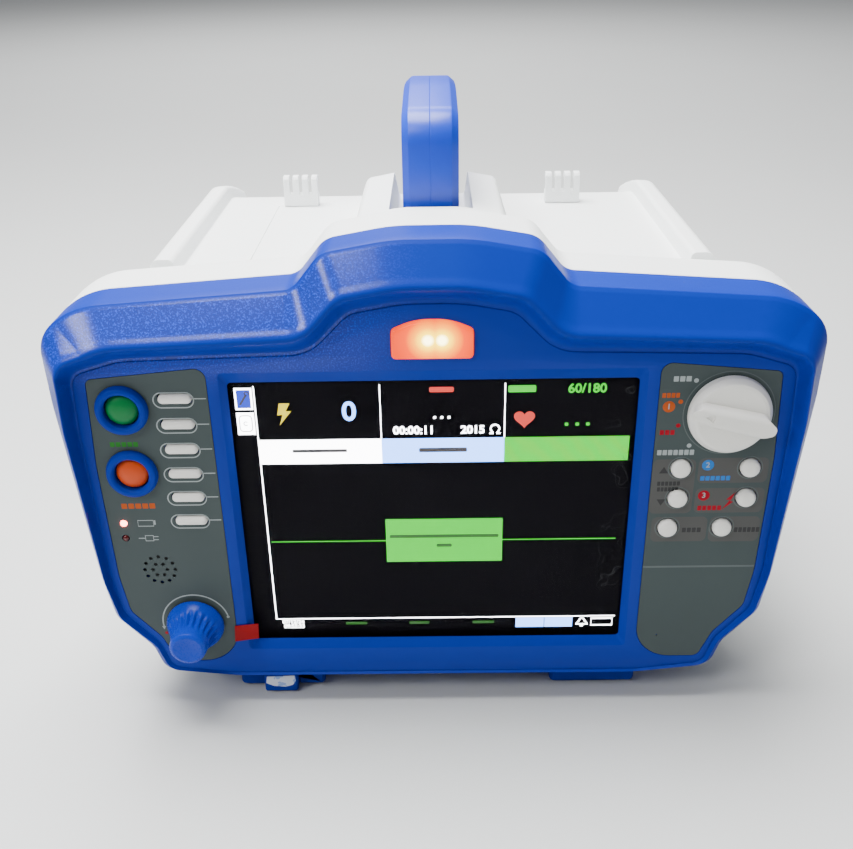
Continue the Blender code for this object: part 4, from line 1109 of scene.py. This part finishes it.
def build_jog_knob():
    low, high = span("jog_knob")
    spot = middle("jog_knob")
    tip = high.y - low.y
    skirt = [(0, tip - 0.9), (4.0, tip - 0.7), (6.6, tip, 0.8), (8.2, tip - 0.8, 0.9), (8.5, tip - 2.6, 2.0)]
    curve = [(8.5, tip - 3), (8.9, tip * 0.70), (9.6, tip * 0.54), (10.6, tip * 0.38), (11.7, tip * 0.25),
             (12.7, tip * 0.15), (13.3, tip * 0.08)]
    fine = []
    for one, two in zip(curve, curve[1:]):
        fine += [(one[0] + (two[0] - one[0]) * step / 4, one[1] + (two[1] - one[1]) * step / 4)
                 for step in range(4)]
    profile = skirt + fine + [(13.4, 0.9, 0.4), (13.4, 0, 0.3), (4.6, 0), (4.6, 10), (0, 10)]
    knob = lathe("jog_knob_body", profile, (spot.x, high.y, spot.z), "-Y", "knob_blue", 144)
    centre = Vector((spot.x, 0, spot.z + SCREEN_Z)) * MM
    sizes = bpy.context.scene.monitor_sizes
    values = {"Flutes": float(sizes.flutes), "Depth": sizes.flute_depth, "Axis Point": list(centre),
              "Front": (low.y + 2.2) * MM, "Back": (high.y - 1.0) * MM, "Finish": knob.data.materials[0]}
    run_tree(knob, flute_tree(), values)
    show(knob, "jog_knob", "blue_plastic", "jog_knob", angle=60)


# ---- rear shell ----

def bowed(point, y, bow):
    """The back edge of the top bows forward towards the sides, and fades out down the back."""
    height = clamped((point.y - 40) / 60)
    return (point.x, y - bow * (point.x / 125) ** 2 * height, point.y)


def shrunk(corners, by):
    return [(x * (1 - by / BODY_X), z - by * (z - 5) / 95, radius) for x, z, radius in corners]


def build_shell():
    rim = mirrored(RIM_HALF)
    steps = [(SEAM_Y + 0.3, 0.35), (SEAM_Y + 0.65, 0), (COLLAR_Y - 8, 0), (COLLAR_Y - 4.4, 0.25),
             (COLLAR_Y - 2.2, 1.0), (COLLAR_Y - 0.8, 2.2), (COLLAR_Y, 4.2)]
    shell = loft("rear_shell_skin", [[(p.x, y, p.y) for p in rounded(inset(rim, by), 12)] for y, by in steps],
                 "white")
    back = [(COLLAR_Y - 3, 0, 0), (REAR_Y - 60, 0, 7), (REAR_Y - 9, 0, 14), (REAR_Y - 5.4, 0.7, 12.5),
            (REAR_Y - 2.6, 2.2, 9), (REAR_Y - 0.8, 4.4, 4), (REAR_Y, 6.8, 0)]
    body = mirrored(BODY_HALF)
    loops = [[bowed(p, y, bow) for p in rounded(shrunk(body, by), 10)] for y, by, bow in back]
    combine(shell, [loft("tool", loops, "white")], "UNION")
    foot = HUMP[0][1]
    humps = ((COLLAR_Y - 2, 1.0), (24, 1.0), (29, 0.995), (34, 0.985), (40, 0.96), (66, 0.64), (93, 0.30))
    loops = [[(p.x, y, foot + (p.y - foot) * tall) for p in rounded(HUMP, 8)] for y, tall in humps]
    combine(shell, [loft("tool", loops, "white")], "UNION")
    channel = rounded(rectangle(-18.6, 18.6, FLOOR_Z + 1, 140, 1.5), 4)
    combine(shell, [slab("tool", channel, COLLAR_Y + 4, REAR_Y + 5, "white")])
    cavity = rounded(inset(rim, WALL), 4)
    combine(shell, [slab("tool", cavity, SEAM_Y - 1, COLLAR_Y - 4, "white")])
    groove = box("tool", (-84.5, -83.8), (-39, 74), (FLOOR_Z - 0.5, FLOOR_Z + 1), "white")
    slots = repeated(slab("tool", rounded(rectangle(-16, 16, -SCREEN_Z - 1.1, -SCREEN_Z + 1.1, 1.05), 5),
                          0, 5, "white"), "row", 8, (0, 0, 5.2), (94, REAR_Y - 3.5, SCREEN_Z + 8))
    low, high = span("recorder_frame")
    mouths = [box("tool", (BODY_X - 8, BODY_X + 4), (low.y - 0.6, high.y + 0.6), (low.z - 0.6, high.z + 0.6),
                  "white")]
    low, high = span("battery_pack")
    mouths.append(box("tool", (low.x - 0.6, high.x + 0.6), (low.y - 0.6, REAR_Y + 4), (low.z - 0.6, high.z + 0.6),
                      "white"))
    spot = middle("mains_inlet")
    mouths.append(box("tool", (spot.x - 12.6, spot.x + 12.6), (REAR_Y - 8, REAR_Y + 4),
                      (spot.z - 9.4, spot.z + 9.4), "white"))
    spot = middle("paddle_socket")
    mouths.append(box("tool", (-BODY_X - 4, -BODY_X + 8), (spot.y - 18.4, spot.y + 18.4),
                      (spot.z - 12.4, spot.z + 12.4), "white"))
    spot = middle("ecg_socket")
    mouths.append(pin((-BODY_X - 4, spot.y, spot.z), "X", 11.4, 12))
    spot = middle("earth_stud")
    mouths.append(pin((spot.x, REAR_Y - 5, spot.z), "Y", 3.3, 12))
    combine(shell, [groove, slots] + mouths)
    show(shell, "case", "white_plastic", "rear_shell", angle=30)
    build_screws()


def build_screws():
    """Cross-head screws near the corners of the back."""
    profile = [(0, 0.9), (2.4, 0.9, 0.4), (3.2, 0.2, 0.3), (3.2, -0.4), (1.5, -0.4), (1.5, -4), (0, -4)]
    for name, spread, start in (("back_screws_low", (270, 0, 0), (-135, REAR_Y, SCREEN_Z - 62)),
                                ("back_screws_high", (216, 0, 0), (-108, REAR_Y, SCREEN_Z + 68))):
        head = lathe("head", profile, (0, 0, -SCREEN_Z), "Y", "steel", 24)
        for across, up in ((2.0, 0.3), (0.3, 2.0)):
            combine(head, [box("tool", (-across, across), (0.25, 2), (-SCREEN_Z - up, -SCREEN_Z + up), "steel")])
        made = repeated(head, "row", 2, spread, start)
        made.name = name
        show(made, "case", "steel")


# ---- handle, clips, feet ----

def build_handle():
    low, high = span("carry_handle")
    front, back, base, top = low.y, high.y, low.z, high.z - 2.0
    thick, centre = 14.5, (low.y + high.y) / 2
    side = [(front, base, 0), (front, top - 3, 15), (centre, top + 2.4, 150), (back, top - 3, 24),
            (back, base, 0), (back - thick, base, 0), (back - thick, top - thick - 2, 10),
            (centre, top - thick + 3, 120), (front + thick, top - thick - 2, 9), (front + thick, base, 0)]
    half = (high.x - low.x) / 2
    levels = [(-half, 3.4), (-half + 0.15, 2.7), (-half + 3.0, 0.25), (-half + 3.9, 0.0), (-0.25, 0.0), (0, 0.14),
              (0.25, 0.0), (half - 3.9, 0.0), (half - 3.0, 0.25), (half - 0.15, 2.7), (half, 3.4)]
    outline = rounded(side, 14)
    # the handle's finish is the blue painted lighter, standing in for the light it catches
    handle = loft("carry_handle_grip", [[(x, p[0], p[1]) for p in drawn_in(outline, by)] for x, by in levels],
                  "handle_blue")
    show(handle, "case", "blue_plastic", "carry_handle", angle=24)


def build_clips():
    for node in ("left_paddle_clip", "right_paddle_clip"):
        low, high = span(node)
        block_top = low.z + 6.2
        outline = rounded([(low.y, low.z, 0), (low.y, block_top, 0.4), (high.y, block_top, 0.4),
                           (high.y, low.z, 0)], 4)
        block = slab(node + "_comb", outline, low.x, high.x, "white", "X")
        hook = [(low.y, block_top - 1, 0), (low.y, high.z - 1.6, 0.8), (low.y + 1.4, high.z, 1.2),
                (high.y - 1.2, high.z, 1.4), (high.y, high.z - 1.8, 1.2),
                (high.y - 1.4, high.z - 3.6, 0.6), (low.y + 3.4, high.z - 3.8, 0.8),
                (low.y + 3.4, block_top - 1, 0)]
        width = 3.3
        finger = slab("finger", rounded([(y, z - SCREEN_Z, r) for y, z, r in hook], 4), 0, width, "white", "X",
                      edge=0.35)
        pitch = (high.x - low.x - width) / 3
        fingers = repeated(finger, "row", 4, (pitch, 0, 0), (low.x, 0, SCREEN_Z))
        combine(block, [fingers], "UNION")
        show(block, "case", "white_plastic", node)


def build_feet():
    for side in ("left", "right"):
        skid = refined(side + "_skid", side + "_skid_rail", "blue", 1.4, 3)
        show(skid, "case", "blue_plastic", side + "_skid")
        node = side + "_skid_pad"
        low, high = span(node)
        pad = slab(node + "_tread", rounded(round_box(node, (0, 1), 1.5), 5), low.z, high.z, "rubber", "Z",
                   edge=0.5)
        grooves = repeated(box("tool", (low.x - 1, high.x + 1), (-0.7, 0.7), (-0.3 - SCREEN_Z, 0.6 - SCREEN_Z),
                               "rubber"), "row", 14, (0, 9.6, 0), (0, low.y + 8, 0))
        combine(pad, [grooves])
        show(pad, "case", "rubber", node)
    catch = refined("docking_catch", "docking_catch_body", "blue", 0.9, 3)
    show(catch, "docking_catch", "blue_plastic", "docking_catch")
    low, high = span("docking_catch")
    torn = [(low.x + 1.5, high.z - 1.2, 0.3), (high.x - 1.2, high.z - 0.7, 0.3), (high.x - 0.8, high.z - 3.9, 0.3),
            (high.x - 2.4, high.z - 6.4, 0.6), (high.x - 5.8, high.z - 7.6, 0.5), (low.x + 4.6, high.z - 7.0, 0.6),
            (low.x + 0.9, high.z - 5.2, 0.3)]
    label = slab("catch_seal", rounded(torn, 3), low.y - 0.12, low.y + 0.1, "seal")
    show(label, "docking_catch", "blue_plastic")


# ---- recorder, battery, sockets ----

def build_recorder():
    for node, name, body, slot, material, width in (
            ("recorder_door", "recorder_door_panel", "recorder_door", "white_plastic", "white", 0.5),
            ("recorder_latch", "recorder_latch_button", "recorder_latch", "blue_plastic", "blue", 0.4),
            ("recorder_frame", "recorder_frame_tub", "case", "overlay_grey", "grey", 0.4)):
        show(refined(node, name, material, width), body, slot, node)
    low, high = span("platen_roller")
    spot = middle("platen_roller")
    profile = [(0, 0), (2, 0, 0.3), (2, 5, 0), (5, 5, 0.4), (5, 56, 0.4), (2, 56, 0), (2, 61, 0.3), (0, 61)]
    roller = lathe("platen_roller_sleeve", profile, (spot.x, low.y, spot.z), "Y", "rubber", 40)
    show(roller, "platen_roller", "rubber", "platen_roller")
    low, high = span("paper_roll")
    spot = middle("paper_roll")
    outer = (high.x - low.x) / 2
    profile = [(6, 0, 0.2), (outer, 0, 0.3), (outer, high.y - low.y, 0.3), (6, high.y - low.y, 0.2)]
    for turn in range(1, 12):
        radius = outer - turn * 1.1
        profile.insert(1, (radius, 0.0 if turn % 2 else 0.12, 0))
    roll = lathe("paper_roll_wound", profile, (spot.x, low.y, spot.z), "Y", "paper", 64, True)
    show(roll, "paper_roll", "paper", "paper_roll")


def build_back_fittings():
    pack = refined("battery_pack", "battery_pack_case", "black", 0.8)
    low, high = span("battery_pack")
    ribs = repeated(slab("rib", rounded(rectangle(-12, 12, -SCREEN_Z - 0.9, -SCREEN_Z + 0.9, 0.85), 4), 0, 0.9,
                         "black", edge=0.3, ends=(False, True)), "row", 5, (0, 0, 4.0),
                    (low.x + 16, high.y - 0.3, low.z + 34 + SCREEN_Z))
    show(joined([pack, ribs]), "battery_pack", "black_plastic", "battery_pack")
    for node, name, material, slot, body, width in (
            ("battery_latch", "battery_latch_slider", "blue", "blue_plastic", "battery_latch", 0.7),
            ("mains_inlet", "mains_inlet_socket", "black", "black_plastic", "case", 0.5),
            ("paddle_socket", "paddle_socket_body", "black", "black_plastic", "case", 0.5),
            ("battery_bay", "battery_bay_tub", "grey", "overlay_grey", "case", 0.4)):
        show(refined(node, name, material, width), body, slot, node)
    spot = middle("ecg_socket")
    profile = [(0, -16), (11, -16, 0.4), (11, 0.3, 0), (13.5, 0.3, 0.2), (13.5, 2.2, 0.6), (12.4, 3.2, 0.8),
               (8.5, 3.2, 0.6), (8.5, -9, 0), (2.2, -9, 0), (2.2, -4, 0.5), (0, -4)]
    socket = lathe("ecg_socket_ring", profile, (-BODY_X, spot.y, spot.z), "-X", "grey", 64)
    show(socket, "case", "overlay_grey", "ecg_socket")
    spot = middle("earth_stud")
    profile = [(0, -9), (2.9, -9, 0.3), (2.9, 0.3, 0), (5.6, 0.3, 0.2), (5.6, 1.8, 0.3), (2.6, 1.8, 0),
               (2.6, 3.1, 0.3), (2.2, 3.5, 0.2), (0, 3.5)]
    stud = lathe("earth_stud_post", profile, (spot.x, REAR_Y, spot.z), "Y", "steel", 40)
    show(stud, "case", "steel", "earth_stud")


INNER_FINISHES = {
    "mode_switch": "black", "jog_shaft": "steel", "jog_encoder": "black", "left_key_board": "board",
    "right_key_board": "board", "speaker": "black", "recorder_hinge_pin": "steel", "chassis": "steel",
    "main_board": "board", "hv_capacitor": "grey", "hv_module": "black", "power_supply": "steel",
}


def finish_inner_nodes():
    for node, material in INNER_FINISHES.items():
        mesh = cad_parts[node].data
        mesh.materials.clear()
        mesh.materials.append(finish(material))


# ---- stage ----

def area_light(name, place, aim, size, power):
    light = bpy.data.lights.new(name, "AREA")
    light.shape, light.size, light.size_y = "RECTANGLE", size[0], size[1]
    light.energy = power
    lamp = bpy.data.objects.new(name, light)
    lamp.location = place
    lamp.rotation_euler = (Vector(aim) - Vector(place)).to_track_quat("-Z", "Y").to_euler()
    bpy.context.scene.collection.objects.link(lamp)


def build_stage():
    stage = bpy.context.scene.monitor_stage
    paint = Paint("monitor_floor", roughness=0.75)
    tone = tuple(stage.floor)
    paint.set("Base Color", paint.mix(paint.noise(300.0), scaled(tone, 0.98), scaled(tone, 1.02)))
    work = bmesh.new()
    bmesh.ops.create_grid(work, x_segments=8, y_segments=8, size=FLOOR_REACH)
    bmesh.ops.translate(work, verts=work.verts, vec=(0, 0, -SCREEN_Z - 0.05))
    floor = as_piece("floor", work, paint.material)
    world = bpy.data.worlds.new("studio")
    world.use_nodes = True
    sky = world.node_tree.nodes["Background"].inputs
    sky["Color"].default_value, sky["Strength"].default_value = (0.93, 0.95, 1.0, 1.0), stage.surround
    bpy.context.scene.world = world
    area_light("overhead", (-0.25, 0.1, 1.3), (0, 0, 0.15), (0.8, 0.9), stage.key)
    area_light("front_left", (-1.15, -0.95, 1.0), (0, 0, 0.1), (0.35, 0.35), stage.key * 0.14)
    area_light("sparkle", (-0.42, -0.85, 1.15), (-0.1, -0.1, 0.2), (0.3, 0.3), stage.key * 0.06)
    area_light("backdrop", (-0.3, 2.4, 1.9), (0, 2.6, -0.1), (2.0, 1.5), stage.key * 1.3)
    build_camera()


def build_camera():
    """The camera stands in front and looks down at the screen."""
    pitch, yaw, roll = math.radians(26.80), math.radians(-0.702), math.radians(1.02)
    ahead = Vector((math.sin(yaw) * math.cos(pitch), math.cos(yaw) * math.cos(pitch), -math.sin(pitch)))
    level = Vector((math.cos(yaw), -math.sin(yaw), 0))
    down = ahead.cross(level)
    right = level * math.cos(roll) + down * math.sin(roll)
    up = level * math.sin(roll) - down * math.cos(roll)
    lens = bpy.data.cameras.new("camera")
    lens.sensor_width, lens.lens, lens.shift_y = 36.0, 42.63, 0.0064
    camera = bpy.data.objects.new("camera", lens)
    bpy.context.scene.collection.objects.link(camera)
    turn = Matrix((right, up, -ahead)).transposed().to_4x4()
    camera.matrix_world = Matrix.Translation((0.0017, -0.4802, 0.3426)) @ turn
    bpy.context.scene.camera = camera


# ---- settings a user would change ----

class MonitorColours(bpy.types.PropertyGroup):
    """Colours of the main finishes."""
    blue: bpy.props.FloatVectorProperty(name="Blue", description="Rim, handle and skids", subtype="COLOR",
                                        size=3, min=0, max=1, default=(0.003, 0.022, 0.27))
    white: bpy.props.FloatVectorProperty(name="White", description="Rear shell", subtype="COLOR", size=3, min=0,
                                         max=1, default=(0.82, 0.84, 0.83))
    key_white: bpy.props.FloatVectorProperty(name="Key white", description="Keys and mode knob",
                                             subtype="COLOR", size=3, min=0, max=1, default=(0.78, 0.77, 0.72))
    grey: bpy.props.FloatVectorProperty(name="Grey", description="Printed overlays", subtype="COLOR", size=3,
                                        min=0, max=1, default=(0.052, 0.068, 0.068))


class MonitorSizes(bpy.types.PropertyGroup):
    """Sizes of the shapes that can be changed without a new frame."""
    rim_proud: bpy.props.FloatProperty(name="Rim height", description="How far the rim stands before the panel",
                                       subtype="DISTANCE", unit="LENGTH", default=0.008, min=0.004, max=0.010)
    crest: bpy.props.FloatProperty(name="Crest", description="Where the rim is highest, as a share of its width",
                                   subtype="FACTOR", default=0.64, min=0.4, max=0.8)
    flutes: bpy.props.IntProperty(name="Flutes", description="Hollows round the jog knob", default=20, min=8,
                                  max=30)
    flute_depth: bpy.props.FloatProperty(name="Flute depth", description="Depth of the jog knob's hollows",
                                         subtype="DISTANCE", unit="LENGTH", default=0.0013, min=0, max=0.002)


class MonitorStage(bpy.types.PropertyGroup):
    """Floor and light."""
    floor: bpy.props.FloatVectorProperty(name="Floor", description="Floor colour", subtype="COLOR", size=3,
                                         min=0, max=1, default=(0.54, 0.55, 0.545))
    key: bpy.props.FloatProperty(name="Key light", description="Power of the main light", subtype="POWER",
                                 unit="POWER", default=68.0, min=0)
    surround: bpy.props.FloatProperty(name="Surround", description="Strength of the light from all round",
                                      default=0.30, min=0)


# ---- operators ----

class Builder:
    """Runs an operator's steps in order."""

    def execute(self, context):
        for step in self.steps:
            step()
        return {"FINISHED"}


class MONITOR_OT_bezel(Builder, bpy.types.Operator):
    """Build the front bezel with its raised rim"""
    bl_idname = "monitor.bezel"
    bl_label = "Front bezel"
    steps = (build_bezel,)


class MONITOR_OT_overlays(Builder, bpy.types.Operator):
    """Build the two control overlays and their print"""
    bl_idname = "monitor.overlays"
    bl_label = "Overlays"
    steps = (build_overlays, print_left, print_right)


class MONITOR_OT_screen(Builder, bpy.types.Operator):
    """Build the screen, its picture, the pull tab and the alarm lamp"""
    bl_idname = "monitor.screen"
    bl_label = "Screen and lamp"
    steps = (build_screen,)


class MONITOR_OT_buttons(Builder, bpy.types.Operator):
    """Build the push buttons, collars, keys and indicator lenses"""
    bl_idname = "monitor.buttons"
    bl_label = "Buttons"
    steps = (build_buttons,)


class MONITOR_OT_knobs(Builder, bpy.types.Operator):
    """Build the mode knob and the fluted jog knob"""
    bl_idname = "monitor.knobs"
    bl_label = "Knobs"
    steps = (build_mode_knob, build_jog_knob)


class MONITOR_OT_shell(Builder, bpy.types.Operator):
    """Build the rear shell, its vents and screws"""
    bl_idname = "monitor.shell"
    bl_label = "Rear shell"
    steps = (build_shell,)


class MONITOR_OT_outside(Builder, bpy.types.Operator):
    """Build the carrying handle, paddle clips, skids and catch"""
    bl_idname = "monitor.outside"
    bl_label = "Handle, clips and feet"
    steps = (build_handle, build_clips, build_feet)


class MONITOR_OT_fittings(Builder, bpy.types.Operator):
    """Build the recorder, battery, inlet and sockets"""
    bl_idname = "monitor.fittings"
    bl_label = "Recorder and back fittings"
    steps = (build_recorder, build_back_fittings)


class MONITOR_OT_inner(Builder, bpy.types.Operator):
    """Give the pieces inside the case their finishes"""
    bl_idname = "monitor.inner"
    bl_label = "Inner pieces"
    steps = (finish_inner_nodes,)


class MONITOR_OT_stage(Builder, bpy.types.Operator):
    """Set up the floor, the light and the camera"""
    bl_idname = "monitor.stage"
    bl_label = "Stage"
    steps = (build_stage,)


OPERATORS = (MONITOR_OT_bezel, MONITOR_OT_overlays, MONITOR_OT_screen, MONITOR_OT_buttons, MONITOR_OT_knobs,
             MONITOR_OT_shell, MONITOR_OT_outside, MONITOR_OT_fittings, MONITOR_OT_inner, MONITOR_OT_stage)
SETTINGS = {"monitor_colours": MonitorColours, "monitor_sizes": MonitorSizes, "monitor_stage": MonitorStage}


class MONITOR_PT_sidebar(bpy.types.Panel):
    """Lists the settings and the pieces"""
    bl_label = "Monitor"
    bl_idname = "MONITOR_PT_sidebar"
    bl_space_type = "VIEW_3D"
    bl_region_type = "UI"
    bl_category = "Monitor"

    def draw(self, context):
        for name, group in SETTINGS.items():
            for prop in group.__annotations__:
                self.layout.prop(getattr(context.scene, name), prop)
        for operator in OPERATORS:
            self.layout.operator(operator.bl_idname)


def register():
    for group in (*SETTINGS.values(), *OPERATORS, MONITOR_PT_sidebar):
        bpy.utils.register_class(group)
    for name, group in SETTINGS.items():
        setattr(bpy.types.Scene, name, bpy.props.PointerProperty(type=group))


def unregister():
    for name in SETTINGS:
        delattr(bpy.types.Scene, name)
    for group in reversed((*SETTINGS.values(), *OPERATORS, MONITOR_PT_sidebar)):
        bpy.utils.unregister_class(group)


def main():
    register()
    for operator in OPERATORS:
        family, name = operator.bl_idname.split(".")
        getattr(getattr(bpy.ops, family), name)()


if __name__ == "__main__":
    main()
